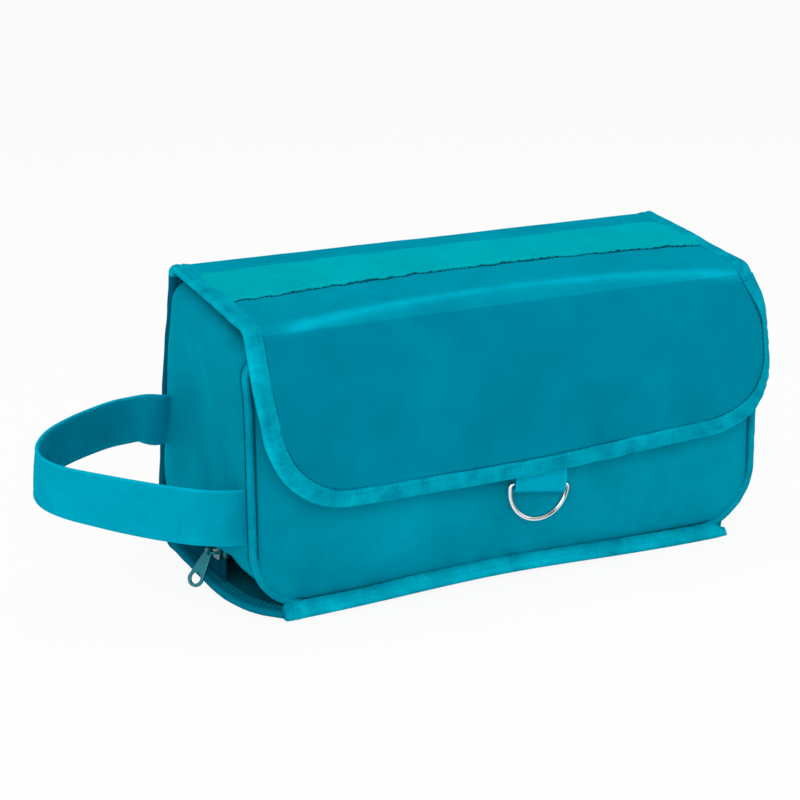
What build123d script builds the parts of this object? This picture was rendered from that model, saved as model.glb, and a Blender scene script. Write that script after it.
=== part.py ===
from build123d import *
import math
import os

# A hanging toiletry bag. A bound cover sheet wraps round a zipped box: bottom, back, top and
# front flap. X runs along the bag, Y points to the rear and Z up. The origin is the middle of
# the base, on the surface that the bag stands on. All sizes are in millimetres.

# Driving dimensions of the cover
cover_width = 254.0
sheet = 1.0
board = 1.0
lining = 0.6
cover = sheet + board + lining
edge_tape = 3.0
edge_tape_thick = 3.4
corner_taper = 12.0
front_y = -52.0
back_lean = 13.1
back_height = 118.0
rear_radius = 16.0
rear_centre_y = 47.0
top_slope = 7.3
top_length = 76.0
top_rear_radius = 6.0
front_fold_radius = 9.0
front_fold_end = 150.0
flap_tip_y = -70.0
flap_tip_z = 54.0
flap_corner = 36.0
fold_slit = 0.5
bottom_shoulder = 24.0
binding_depth = 5.2
binding_height = 8.0
binding_round = 1.5
band_start = 12.0
band_width = 38.0
band_thick = 0.8

# Driving dimensions of the box
box_width = 247.0
wall = 1.3
box_base = 3.8
box_front_height = 115.0
box_rear_height = 116.0
box_top_corner = 14.0
box_low_corner = 22.0
mouth_low = 23.0
mouth_corner = 18.0
piping = 3.0
patch_half = 40.0
patch_low = 62.0
patch_high = 82.0
patch_thick = 1.2

# Driving dimensions of the zip, measured outwards from the edge of the box's mouth
tape_width = 3.2
tape_thick = 0.8
coil_width = 1.8
coil_thick = 2.4
coil_gap = 1.6
zip_end_y = -12.0
zip_split = 27.0
low_wall_end = 33.0
mouth_shoulder_y = -16.0
slider_y = -7.0
slider_length = 9.0
slider_width = 9.0
pull_length = 17.5
pull_width = 7.8
pull_lean = 30.0

# Driving dimensions of the straps and the ring
webbing = 25.0
webbing_thick = 1.4
strap_front = (-127.0, -47.0, 45.0)
strap_rise = 17.0
strap_run = 80.0
strap_reach = 75.0
strap_stand_off = 5.5
ring_wire = 2.4
ring_inner = 27.0
ring_x = 4.5
ring_z = 43.5
tab_ply = 1.2
tab_overlap = 7.0
pin_clearance = 0.08

# Directions and fold centres worked out from the driving dimensions, as (y, z)
lean = math.radians(back_lean)
slope = math.radians(top_slope)
back_up = (-math.sin(lean), math.cos(lean))
back_out = (math.cos(lean), math.sin(lean))
top_run = (-math.cos(slope), -math.sin(slope))
top_out = (-math.sin(slope), math.cos(slope))


def along(start, *steps):
    """Point reached from start by steps of (direction, length) in the YZ plane."""
    y = start[0] + sum(direction[0] * length for direction, length in steps)
    z = start[1] + sum(direction[1] * length for direction, length in steps)
    return (y, z)


rear_centre = (rear_centre_y, rear_radius)
top_rear_centre = along(rear_centre, (back_up, back_height), (back_out, rear_radius - top_rear_radius))
front_centre = along(
    top_rear_centre, (top_run, top_length), (top_out, top_rear_radius - front_fold_radius)
)


def outline(*points):
    """Closed face through points of (y, z) or (x, z), still in its own plane."""
    return make_face(Polyline(*points, close=True))


def slab(face, x_low, x_high):
    """Solid of a YZ face between two places along the bag."""
    return extrude(Plane.YZ.offset(x_low) * face, x_high - x_low)


def block(x_low, x_high, y_low, y_high, z_low, z_high):
    """Box between two corners."""
    size = (x_high - x_low, y_high - y_low, z_high - z_low)
    middle = ((x_low + x_high) / 2, (y_low + y_high) / 2, (z_low + z_high) / 2)
    return Pos(*middle) * Box(*size)


def layer(start, run, out, length, low, high):
    """YZ face of one flat ply: it starts at start, runs along run and lies from low to high."""
    return outline(
        along(start, (out, low)),
        along(start, (run, length), (out, low)),
        along(start, (run, length), (out, high)),
        along(start, (out, high)),
    )


def arc_band(centre, inner, outer, first, last):
    """YZ face between two arcs about a centre, from the angle first to the angle last."""
    span = last - first
    outside = CenterArc(centre, outer, first, span)
    inside = CenterArc(centre, inner, first, span)
    sides = [Line(outside @ 0, inside @ 0), Line(outside @ 1, inside @ 1)]
    return make_face([outside, inside] + sides)


def both_sides(solid):
    """A solid and its mirror image across the middle of the bag."""
    return [solid, mirror(solid, about=Plane.YZ)]


def plies(face_of, x_half):
    """Sheet, board and lining from a function that gives the YZ face between two depths."""
    depths = (0.0, sheet, sheet + board, cover)
    return [slab(face_of(-b, -a), -x_half, x_half) for a, b in zip(depths, depths[1:])]


sheet_half = cover_width / 2 - edge_tape
bottom_tip = sheet_half - corner_taper
bottom_front = front_y - piping - 0.3
shoulder_y = front_y + bottom_shoulder


# The bottom of the cover
def bottom_plan():
    """Plan of the bottom sheet, drawn in at its front corners."""
    return make_face(
        Polyline(
            (-sheet_half, rear_centre_y),
            (-sheet_half, shoulder_y),
            (-bottom_tip, bottom_front),
            (bottom_tip, bottom_front),
            (sheet_half, shoulder_y),
            (sheet_half, rear_centre_y),
            close=True,
        )
    )


def bottom_ply(low, high):
    """One ply of the bottom between two heights."""
    return extrude(Pos(0, 0, low) * bottom_plan(), high - low)


def bottom_edge_tapes():
    """Binding along the two long-side edges of the bottom."""
    tape = block(sheet_half, cover_width / 2, shoulder_y, rear_centre_y, 0, edge_tape_thick)
    return both_sides(tape)


def front_binding():
    """Binding that joins the bottom's front edge to the box's front."""
    low_y = bottom_front - binding_depth
    bar = block(-bottom_tip, bottom_tip, low_y, bottom_front, 0, binding_height)
    return fillet(bar.edges().filter_by(Axis.X), binding_round)


def fold(centre, radius, first, last):
    """Bend of the whole cover about a fold centre, a thin slit short of both its neighbours."""
    face = arc_band(centre, radius - cover, radius, first + fold_slit, last - fold_slit)
    return slab(face, -sheet_half, sheet_half)


# The back, top and flap of the cover
def back_face(low, high):
    """YZ face of the back between two depths from its outer side."""
    return layer(rear_centre, back_up, back_out, back_height, rear_radius + low, rear_radius + high)


def top_face(low, high):
    """YZ face of the top between two depths from its outer side."""
    radius = top_rear_radius
    return layer(top_rear_centre, top_run, top_out, top_length, radius + low, radius + high)


def panel_edge_tapes(face_of):
    """Binding along the two side edges of a flat panel."""
    proud = (edge_tape_thick - cover) / 2
    return both_sides(slab(face_of(-cover - proud, proud), sheet_half, cover_width / 2))


def top_band():
    """Flat band sewn along the top, on its outer side."""
    start = along(top_rear_centre, (top_run, band_start), (top_out, top_rear_radius))
    face = layer(start, top_run, top_out, band_width, 0, band_thick)
    return slab(face, -sheet_half, sheet_half)


def flap_arc():
    """Centre and radius of the flap's outer curve, which leaves the front fold smoothly."""
    turn = math.radians(front_fold_end)
    radial = (math.cos(turn), math.sin(turn))
    start = along(front_centre, (radial, front_fold_radius))
    chord = (flap_tip_y - cover / 2 - start[0], flap_tip_z - start[1])
    reach = math.hypot(*chord)
    inward = -(chord[0] * radial[0] + chord[1] * radial[1]) / reach
    radius = reach / (2 * inward)
    return along(start, (radial, -radius)), radius


flap_centre, flap_radius = flap_arc()


def flap_front(grow, bottom):
    """XZ outline of the flap, grown by grow at its sides and ending at bottom."""
    half = sheet_half + grow
    low_half = half - 4.0
    left = [(-half, 150), (-half, 95), (-low_half, bottom)]
    right = [(-x, z) for x, z in reversed(left)]
    face = outline(*left, *right)
    corners = face.vertices().filter_by(lambda v: abs(v.Z) < 1 and abs(v.Y - bottom) < 0.1)
    return fillet(corners, flap_corner + grow)


def flap_ply(low, high, front):
    """One curved ply of the flap between two depths, cut to a front outline."""
    tip_angle = math.degrees(math.asin((flap_centre[1] - flap_tip_z + 4.0) / flap_radius)) + 180
    band = arc_band(flap_centre, flap_radius + low, flap_radius + high, front_fold_end, tip_angle)
    curved = slab(band, -cover_width / 2, cover_width / 2)
    return curved & extrude(Plane.XZ * front, 100)


def flap_binding():
    """Binding round the sides and lower edge of the flap."""
    proud = (edge_tape_thick - cover) / 2
    outer = flap_front(edge_tape, flap_tip_z - edge_tape)
    inner = flap_front(0.0, flap_tip_z)
    return flap_ply(-cover - proud, proud, outer - inner)


def hook_patch():
    """Hook half of the flap's closure, which follows the flap's inner side."""
    left = [(-patch_half, patch_high), (-patch_half, patch_low)]
    right = [(patch_half, patch_low), (patch_half, patch_high)]
    return flap_ply(-cover - patch_thick, -cover, outline(*left, *right))


# The box
def box_block(inset):
    """Outer form of the box, drawn in by inset, past its mouth at the rear."""
    rear = along(rear_centre, (back_up, box_rear_height))
    rise = (rear[1] - box_front_height) / (rear[0] - front_y)
    far = 30.0
    top_front = box_front_height - inset
    top_far = box_front_height + rise * (far + rear[0] - front_y) - inset
    half = box_width / 2 - inset
    profile = outline(
        (front_y + inset, box_base),
        (front_y + inset, top_front),
        (rear[0] + far, top_far),
        (rear[0] + far, box_base),
    )
    body = slab(profile, -half, half)
    side_edges = body.edges().filter_by(lambda e: abs(abs(e.center().X) - half) < 0.01)
    long_edges = side_edges.filter_by(lambda e: abs(e.tangent_at(0.5).Y) > 0.9)
    low_edges = long_edges.filter_by(lambda e: e.center().Z < 20)
    high_edges = long_edges.filter_by(lambda e: e.center().Z > 100)
    body = fillet(high_edges, box_top_corner - inset)
    low_edges = body.edges().filter_by(
        lambda e: abs(e.tangent_at(0.5).Y) > 0.9 and e.center().Z < 5 and abs(e.center().X) > half - 1
    )
    return fillet(low_edges, box_low_corner - inset)


def mouth(grow):
    """YZ outline of the box's sides, grown by grow: a slanted rear edge and a raised lower edge."""
    corner = along(rear_centre, (back_up, (mouth_low - rear_radius) / back_up[1]))
    peak = along(rear_centre, (back_up, 140.0))
    face = outline(
        (front_y - 10, box_base),
        (front_y + 4, box_base),
        (mouth_shoulder_y, mouth_low),
        corner,
        peak,
        (front_y - 10, peak[1]),
    )
    rounded = face.vertices().filter_by(
        lambda v: abs(v.X - corner[0]) < 0.1 and abs(v.Y - corner[1]) < 0.1
    )
    face = fillet(rounded, mouth_corner)
    return offset(face, grow) if grow else face


def box_walls():
    """Sides and top of the box as one wall, open to the rear and below."""
    shell = box_block(0.0) - box_block(wall)
    shell -= block(-200, 200, front_y - 1, front_y + wall, -10, 200)
    return shell & slab(mouth(0.0), -200, 200)


def front_panel():
    """Front of the box, with round corners."""
    return box_block(0.0) & block(-200, 200, front_y, front_y + wall, 0, 200)


def front_piping():
    """Piping in the seam round the box's front."""
    radius = piping / 2
    half = box_width / 2 - radius
    low = box_base + radius
    high = box_front_height - radius
    low_bend = box_low_corner - radius
    top_bend = box_top_corner - radius
    corners = [(-half, low), (half, low), (half, high), (-half, high)]
    path = FilletPolyline(*corners, radius=[low_bend, low_bend, top_bend, top_bend], close=True)
    placed = Plane(origin=(0, front_y - radius - 0.05, 0), x_dir=(1, 0, 0), z_dir=(0, -1, 0)) * path
    section = Plane(origin=placed @ 0, z_dir=placed % 0) * Circle(radius)
    return sweep(section, placed)


def front_lining():
    """Lining behind the front of the box."""
    return box_block(wall) & block(-200, 200, front_y + wall, front_y + wall + lining, 0, 200)


# The zip
zip_x = box_width / 2 - wall / 2
coil_low = tape_width
coil_high = coil_low + coil_width
mate_low = coil_high + coil_gap
mate_high = mate_low + coil_width
slider_z = mouth_low - (coil_high + mate_low) / 2


def zip_band(low, high, thick, keep):
    """Both side runs of a strip that lies from low to high outside the mouth's edge."""
    face = (mouth(high) - mouth(low)) & keep
    return both_sides(slab(face, zip_x - thick / 2, zip_x + thick / 2))


def side_region(above, below, ahead, behind):
    """YZ rectangle that keeps one stretch of a side run."""
    return outline((ahead, below), (behind, below), (behind, above), (ahead, above))


def top_zip_run(low, high, thick):
    """Run of a strip across the top, in the plane of the box's rear edge."""
    half = box_width / 2 - box_top_corner
    drop = box_rear_height - wall / 2
    start = along(rear_centre, (back_up, drop - thick / 2), (back_out, low))
    face = layer(start, back_out, back_up, high - low, 0, thick)
    return slab(face, -half, half)


split_height = along(rear_centre, (back_up, zip_split))[1]
run_top = along(rear_centre, (back_up, box_rear_height - box_top_corner))[1]
whole_side = side_region(run_top, -20, zip_end_y, 90)
low_side = side_region(split_height, -20, zip_end_y, 90)
high_side = side_region(run_top, split_height + 1.0, zip_end_y, 90)
back_inner = rear_radius - cover


def low_zip_walls():
    """Low walls that stand on the bottom and carry the other half of the zip."""
    face = mouth(mouth_low - cover) - mouth(mate_high)
    face &= side_region(mouth_low, cover, zip_end_y, low_wall_end)
    return both_sides(slab(face, zip_x - tape_thick / 2, zip_x + tape_thick / 2))


def zip_strip(low, high, thick, keep):
    """Both side runs of a strip and its run across the top."""
    return zip_band(low, high, thick, keep) + [top_zip_run(low, high, thick)]


# The slider and its pull, on the left run of the zip
slider_x = -zip_x
plate = 1.1
plate_gap = coil_thick / 2 + 0.3
bar_radius = 0.7
bar_x = slider_x - plate_gap - plate - 3.1


def slider():
    """Slider: two plates round the coils, the wedge that joins them and a bar for the pull."""
    y_low = slider_y - slider_length / 2
    y_high = slider_y + slider_length / 2
    z_low = slider_z - slider_width / 2
    z_high = slider_z + slider_width / 2
    outer_x = slider_x - plate_gap
    inner_x = slider_x + plate_gap
    outer = block(outer_x - plate, outer_x, y_low, y_high, z_low, z_high)
    inner = block(inner_x, inner_x + plate, y_low, y_high, z_low, z_high)
    outer = fillet(outer.edges().filter_by(Axis.X), 2.5)
    inner = fillet(inner.edges().filter_by(Axis.X), 2.5)
    wedge = block(outer_x, inner_x, y_low, y_low + 2.0, slider_z - 0.5, slider_z + 0.5)
    bar = Pos(bar_x, slider_y, slider_z) * Rot(X=90) * Cylinder(bar_radius, 6.0)
    body = outer + inner + wedge + bar
    for side in (-1, 1):
        y_post = slider_y + side * 2.5
        body += Pos(0, y_post, slider_z) * block(bar_x - 0.7, outer_x - plate, -0.7, 0.7, -0.8, 0.8)
    return body


def pull_tab():
    """Pull with an oval hole, on the slider's bar, leaning out against the bottom's edge."""
    half = pull_width / 2
    knuckle = Rot(X=90) * Cylinder(1.6, 3.0)
    near = [(1.5, 0.5), (2.6, -4), (half, half - pull_length)]
    blade_plan = outline(*near, *[(-y, z) for y, z in reversed(near)])
    blade_plan += Pos(0, half - pull_length) * Circle(half)
    blade_plan -= Pos(0, half - pull_length + 0.8) * SlotOverall(6.2, 4.2, rotation=90)
    blade_plane = Plane(origin=(-0.6, 0, 0), x_dir=(0, 1, 0), z_dir=(1, 0, 0))
    blade = extrude(blade_plane * blade_plan, 1.2)
    eye = Rot(X=90) * Cylinder(bar_radius + pin_clearance, 12.0)
    return Pos(bar_x, slider_y, slider_z) * Rot(Y=pull_lean) * (knuckle + blade - eye)


def zip_stops():
    """Stops at the two ends of the zip."""
    half = (mate_high - coil_low) / 2
    ends = (zip_end_y - 2.2, zip_end_y - 0.1)
    bar = block(zip_x - 1.4, zip_x + 1.4, *ends, slider_z - half, slider_z + half)
    return both_sides(bar)


# The straps and the ring
def strap_plane(rise):
    """Plane of the wrist strap's loop, tilted up to the rear."""
    tilt = math.radians(rise)
    return Plane(origin=strap_front, x_dir=(1, 0, 0), z_dir=(0, -math.sin(tilt), math.cos(tilt)))


def wrist_strap():
    """Loop of webbing that stands out from the left side."""
    near = -strap_stand_off
    far = -strap_reach
    route = FilletPolyline(
        (near, 3.0),
        (-42.0, 16.0),
        (far, 41.0),
        (far, 55.0),
        (-45.0, 74.0),
        (near, strap_run - 2.0),
        radius=6.0,
    )
    band = trace(route, webbing_thick)
    return extrude(strap_plane(strap_rise) * Pos(0, 0, -webbing / 2) * band, webbing)


def strap_ends():
    """Two ends of the wrist strap, sewn flat on the left side."""
    side_x = -box_width / 2
    rise = math.sin(math.radians(strap_rise)) * strap_run
    rear_end = (strap_front[1] + strap_run - 9.0, strap_front[2] + rise - 2.0)
    places = [strap_front[1:], rear_end]
    return [
        block(side_x - webbing_thick, side_x, y, y + 8.0, z - webbing / 2, z + webbing / 2)
        for y, z in places
    ]


ring_y = flap_tip_y + cover / 2 + edge_tape_thick / 2 + tab_ply


def d_ring():
    """Half-round ring with its straight bar in the tab's loop."""
    radius = (ring_inner + ring_wire) / 2
    centre = (ring_x, ring_y, ring_z)
    plane = Plane(origin=centre, x_dir=(1, 0, 0), z_dir=(0, -1, 0))
    bow = plane * CenterArc((0, 0), radius, 180, 180)
    section = Plane(origin=bow @ 0, z_dir=bow % 0) * Circle(ring_wire / 2)
    wire = sweep(section, bow)
    bar = Pos(*centre) * Rot(Y=90) * Cylinder(ring_wire / 2, 2 * radius)
    ends = [Pos(ring_x + side * radius, ring_y, ring_z) * Sphere(ring_wire / 2) for side in (-1, 1)]
    return wire + bar + ends[0] + ends[1]


def ring_tab():
    """Folded webbing tab that holds the ring below the flap's edge."""
    bore = ring_wire / 2 + pin_clearance
    outer = bore + tab_ply
    loop = Pos(ring_x, ring_y, ring_z) * Rot(Y=90) * Cylinder(outer, webbing)
    half = webbing / 2
    low_y = ring_y - tab_ply
    high_y = ring_y + tab_ply
    stem = block(ring_x - half, ring_x + half, low_y, high_y, ring_z, flap_tip_z + tab_overlap)
    hole = Pos(ring_x, ring_y, ring_z) * Rot(Y=90) * Cylinder(bore, webbing + 2)
    tab = loop + stem - hole
    return tab - flap_ply(-cover - 0.45, 6.0, outline((-60, 0), (60, 0), (60, 90), (-60, 90)))


def loop_patch():
    """Loop half of the flap's closure, on the front of the box."""
    low_y = front_y - patch_thick
    return block(-patch_half, patch_half, low_y, front_y, patch_low, patch_high)


def write(node, solids):
    """Write one node's solids to its own file."""
    shapes = solids if isinstance(solids, list) else [solids]
    pieces = [piece for shape in shapes for piece in shape.solids()]
    export_step(pieces[0] if len(pieces) == 1 else Compound(children=pieces), f"parts/{node}.step")


def main():
    """Build every node of the bag."""
    os.makedirs("parts", exist_ok=True)
    write("bottom_sheet", bottom_ply(0, sheet))
    write("bottom_board", bottom_ply(sheet, sheet + board))
    write("bottom_lining", bottom_ply(sheet + board, cover))
    write("bottom_edge_tapes", bottom_edge_tapes())
    write("front_binding", front_binding())
    write("rear_fold", fold(rear_centre, rear_radius, -90, back_lean))

    walls = box_walls()
    corner_x = box_width / 2 - box_top_corner
    write("box_front", front_panel())
    write("front_lining", front_lining())
    write("front_piping", front_piping())
    write("left_side", walls & block(-200, -corner_x, -200, 200, -10, 200))
    write("right_side", walls & block(corner_x, 200, -200, 200, -10, 200))
    write("box_top", walls & block(-corner_x, corner_x, -200, 200, 60, 200))
    write("loop_patch", loop_patch())

    write("zip_tape", zip_strip(0.0, tape_width, tape_thick, whole_side))
    write("zip_coil", zip_strip(coil_low, coil_high, coil_thick, whole_side))
    write("bottom_zip_coil", zip_band(mate_low, mate_high, coil_thick, low_side))
    write("bottom_zip_walls", low_zip_walls())
    write("zip_stops", zip_stops())
    write("back_zip_coil", zip_strip(mate_low, mate_high, coil_thick, high_side))
    write("back_zip_walls", zip_strip(mate_high, back_inner, tape_thick, high_side))

    for name, solid in zip(("back_sheet", "back_board", "back_lining"), plies(back_face, sheet_half)):
        write(name, solid)
    write("back_edge_tapes", panel_edge_tapes(back_face))
    write("top_rear_fold", fold(top_rear_centre, top_rear_radius, back_lean, 90 + top_slope))

    for name, solid in zip(("top_sheet", "top_board", "top_lining"), plies(top_face, sheet_half)):
        write(name, solid)
    write("top_edge_tapes", panel_edge_tapes(top_face))
    write("top_band", top_band())
    write("front_fold", fold(front_centre, front_fold_radius, 90 + top_slope, front_fold_end))

    front = flap_front(0.0, flap_tip_z)
    write("flap_sheet", flap_ply(-sheet, 0.0, front))
    write("flap_foam", flap_ply(-sheet - board, -sheet, front))
    write("flap_lining", flap_ply(-cover, -sheet - board, front))
    write("flap_binding", flap_binding())
    write("hook_patch", hook_patch())
    write("ring_tab", ring_tab())
    write("d_ring", d_ring())

    write("wrist_strap", wrist_strap())
    write("strap_ends", strap_ends())
    write("zip_slider", slider())
    write("zip_pull", pull_tab())


main()
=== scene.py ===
import math

import bpy
import numpy as np
from mathutils import Matrix, Vector


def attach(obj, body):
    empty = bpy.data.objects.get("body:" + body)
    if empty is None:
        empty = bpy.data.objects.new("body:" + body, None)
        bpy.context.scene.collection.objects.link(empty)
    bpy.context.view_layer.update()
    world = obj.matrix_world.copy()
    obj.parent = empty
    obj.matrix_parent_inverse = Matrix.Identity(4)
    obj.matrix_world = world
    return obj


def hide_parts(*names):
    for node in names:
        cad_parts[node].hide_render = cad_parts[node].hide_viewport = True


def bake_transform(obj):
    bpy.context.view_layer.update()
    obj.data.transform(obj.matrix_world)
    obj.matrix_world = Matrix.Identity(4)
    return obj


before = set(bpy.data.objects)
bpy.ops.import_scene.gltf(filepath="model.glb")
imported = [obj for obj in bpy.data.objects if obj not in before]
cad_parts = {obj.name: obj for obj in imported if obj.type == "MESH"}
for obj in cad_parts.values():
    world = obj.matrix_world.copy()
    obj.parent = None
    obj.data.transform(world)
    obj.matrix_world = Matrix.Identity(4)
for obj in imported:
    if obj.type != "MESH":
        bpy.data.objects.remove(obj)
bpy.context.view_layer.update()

# Sizes are written in millimetres, as in the CAD source, and become metres in make_piece.
MM = 0.001

# The cover's flat lines and bends, as (y, z)
SHEET_HALF = 124.0
COVER = 2.6
HALF_COVER = COVER / 2
REAR_RADIUS = 16.0
TOP_REAR_RADIUS = 6.0
FRONT_RADIUS = 9.0
LEAN_DEG = 13.1
SLOPE_DEG = 7.3
FRONT_FOLD_END = 150.0
BACK_LENGTH = 118.0
TOP_LENGTH = 76.0
LEAN = math.radians(LEAN_DEG)
SLOPE = math.radians(SLOPE_DEG)
UP = np.array([-math.sin(LEAN), math.cos(LEAN)])
OUT = np.array([math.cos(LEAN), math.sin(LEAN)])
RUN = np.array([-math.cos(SLOPE), -math.sin(SLOPE)])
TOP_OUT = np.array([-math.sin(SLOPE), math.cos(SLOPE)])
REAR = np.array([47.0, REAR_RADIUS])
TOP_REAR = REAR + BACK_LENGTH * UP + (REAR_RADIUS - TOP_REAR_RADIUS) * OUT
FRONT = TOP_REAR + TOP_LENGTH * RUN + (TOP_REAR_RADIUS - FRONT_RADIUS) * TOP_OUT
FLAP_CENTRE = np.array([66.861, 55.975])
FLAP_RADIUS = 138.176
FLAP_LOW = 54.0
FLAP_CORNER = 36.0
FLAP_LOW_HALF = 120.0
FLAP_SHOULDER = 95.0
BOTTOM_FRONT = -55.3

# The box
BOX_HALF = 123.5
BOX_FRONT = -52.0
BOX_BASE = 3.8
BOX_TOP = 115.0
TOP_BEND = 14.0
LOW_BEND = 22.0
TOP_RISE = 0.1926
FRONT_HALF = 129.4
FRONT_LOW = 2.6
FRONT_HIGH = 117.2
FRONT_LOW_BEND = 30.0
FRONT_TOP_BEND = 10.0
HOOD_BEND = 9.5
PIPING = 1.75
ZIP_COVER = 11.6
ZIP_X = 122.85
MOUTH_Z = 23.0
MOUTH_BEND = 18.0
MOUTH_CENTRE = (22.70, 41.0)
MOUTH_END = 29.9
RIM_LENGTH = 116.0

# Directions and the mirror from left to right
RIGHTWARD, REARWARD, UPWARD = np.eye(3)
FORWARD = -REARWARD
MIRROR = np.array([-1.0, 1.0, 1.0])


# Small helpers for points
def unit(vectors):
    """Vectors scaled to length 1."""
    return vectors / np.maximum(np.linalg.norm(vectors, axis=-1, keepdims=True), 1e-12)


def ripple(u, v, seed, wave_u, wave_v, terms=7):
    """Soft irregular waves over a surface, about 1 high, with the given wavelengths."""
    rng = np.random.default_rng(seed)
    total = 0.0
    for _ in range(terms):
        rate_u, rate_v = rng.uniform(0.5, 1.6, 2) * rng.choice([-1, 1], 2)
        phase = rng.uniform(0, 2 * math.pi)
        total = total + np.sin(2 * math.pi * (u * rate_u / wave_u + v * rate_v / wave_v) + phase)
    return total / math.sqrt(terms)


def wobble(at, seed, wave):
    """Soft irregular waves along a line."""
    return ripple(at, 0.0, seed, wave, 1.0)


def soft_step(value, low, high):
    """0 below low, 1 above high, and smooth between them."""
    t = np.clip((value - low) / (high - low), 0, 1)
    return t * t * (3 - 2 * t)


def eased(value, knots, levels):
    """Levels at knots, joined by smooth steps."""
    total = levels[0] + 0.0 * value
    for low, high, before, after in zip(knots, knots[1:], levels, levels[1:]):
        total = total + (after - before) * soft_step(value, low, high)
    return total


def distances(points):
    """Distance along a line of points, at each of them."""
    steps = np.linalg.norm(np.diff(points, axis=0), axis=1)
    return np.concatenate([[0.0], np.cumsum(steps)])


def respace(points, step):
    """The same line with evenly spaced points, about step apart."""
    at = distances(points)
    count = max(2, int(round(at[-1] / step)) + 1)
    even = np.linspace(0, at[-1], count)
    return np.stack([np.interp(even, at, points[:, k]) for k in range(points.shape[1])], 1)


def smooth_line(points, step):
    """Curve through the points (Catmull-Rom), evenly spaced."""
    points = np.asarray(points, float)
    padded = np.concatenate([[2 * points[0] - points[1]], points, [2 * points[-1] - points[-2]]])
    t = np.linspace(0, 1, 24, endpoint=False)[:, None]
    fine = [
        0.5 * (2 * b + (c - a) * t + (2 * a - 5 * b + 4 * c - d) * t**2 + (3 * b - a - 3 * c + d) * t**3)
        for a, b, c, d in zip(padded, padded[1:], padded[2:], padded[3:])
    ]
    return respace(np.concatenate(fine + [points[-1:]]), step)


def arc(centre, radius, first, last, count):
    """Points on an arc in a plane and their outward directions."""
    turn = np.radians(np.linspace(first, last, count))
    out = np.stack([np.cos(turn), np.sin(turn)], 1)
    return np.asarray(centre) + radius * out, out


# Making meshes
def add_object(name, data):
    """Object with this data, in the scene."""
    made = bpy.data.objects.new(name, data)
    bpy.context.scene.collection.objects.link(made)
    return made


def plain_mesh(carrier):
    """An object's mesh after its modifiers and curve settings. The object itself is removed."""
    graph = bpy.context.evaluated_depsgraph_get()
    mesh = bpy.data.meshes.new_from_object(carrier.evaluated_get(graph))
    bpy.data.objects.remove(carrier)
    return mesh


def signed_volume(points, faces):
    """Volume inside a closed mesh: negative if its faces point inwards."""
    total = 0.0
    for face in faces:
        a = points[face[0]]
        for j, k in zip(face[1:], face[2:]):
            total += np.dot(a, np.cross(points[j], points[k]))
    return total / 6


def make_piece(name, points, faces, finishes, slots=None, uv=None, rim=None, sharp=40.0, closed=True):
    """Mesh object from points in millimetres. uv is in millimetres on the cloth."""
    faces = [list(map(int, face)) for face in faces]
    if closed and signed_volume(points - points.mean(0), faces) < 0:
        faces = [face[::-1] for face in faces]
    mesh = bpy.data.meshes.new(name)
    mesh.from_pydata((points * MM).tolist(), [], faces)
    mesh.polygons.foreach_set("use_smooth", np.ones(len(faces), bool))
    for finish in finishes:
        mesh.materials.append(finish)
    if slots is not None:
        mesh.polygons.foreach_set("material_index", np.asarray(slots, np.int32))
    layer = mesh.uv_layers.new(name="cloth")
    flat = np.zeros((len(points), 2)) if uv is None else uv * MM
    loops = np.zeros(len(mesh.loops), np.int32)
    mesh.loops.foreach_get("vertex_index", loops)
    layer.data.foreach_set("uv", flat[loops].astype(np.float32).ravel())
    if rim is not None:
        mark = mesh.attributes.new("rim", "FLOAT", "POINT")
        mark.data.foreach_set("value", np.asarray(rim, np.float32))
    mesh.set_sharp_from_angle(angle=math.radians(sharp))
    mesh.validate()
    return add_object(name, mesh)


def grid_normals(grid):
    """Unit normal at each point of a grid of points."""
    return unit(np.cross(np.gradient(grid, axis=0), np.gradient(grid, axis=1)))


def shell(name, outer, thick, finishes, toward, uv=None, wear_highlight_and_shade=None):
    """Closed sheet of cloth between a grid and the same grid moved inwards.

    toward is the side that its outer face points to. The second finish is for its inner face.
    """
    normals = grid_normals(outer)
    if (normals * toward).sum() < 0:
        normals = -normals
    inner = outer - normals * thick
    rows, columns = outer.shape[:2]
    count = rows * columns
    index = np.arange(count).reshape(rows, columns)
    quads = np.stack([index[:-1, :-1], index[1:, :-1], index[1:, 1:], index[:-1, 1:]], -1).reshape(-1, 4)
    border = np.concatenate([index[0, :-1], index[:-1, -1], index[-1, :0:-1], index[:0:-1, 0]])
    ahead = np.roll(border, -1)
    rims = np.stack([border, ahead, ahead + count, border + count], 1)
    points = np.concatenate([outer.reshape(-1, 3), inner.reshape(-1, 3)])
    faces = np.concatenate([quads, quads[:, ::-1] + count, rims])
    slots = np.repeat([0, 1, 0], [len(quads), len(quads), len(rims)])
    if uv is None:
        down = distances(outer[:, columns // 2])
        across = distances(outer[rows // 2])
        uv = np.stack(np.meshgrid(down, across, indexing="ij"), -1)
    flat = np.concatenate([uv.reshape(-1, 2)] * 2)
    rim = None if wear_highlight_and_shade is None else np.concatenate([wear_highlight_and_shade.ravel()] * 2)
    return make_piece(name, points, faces, finishes, slots, flat, rim)


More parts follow.
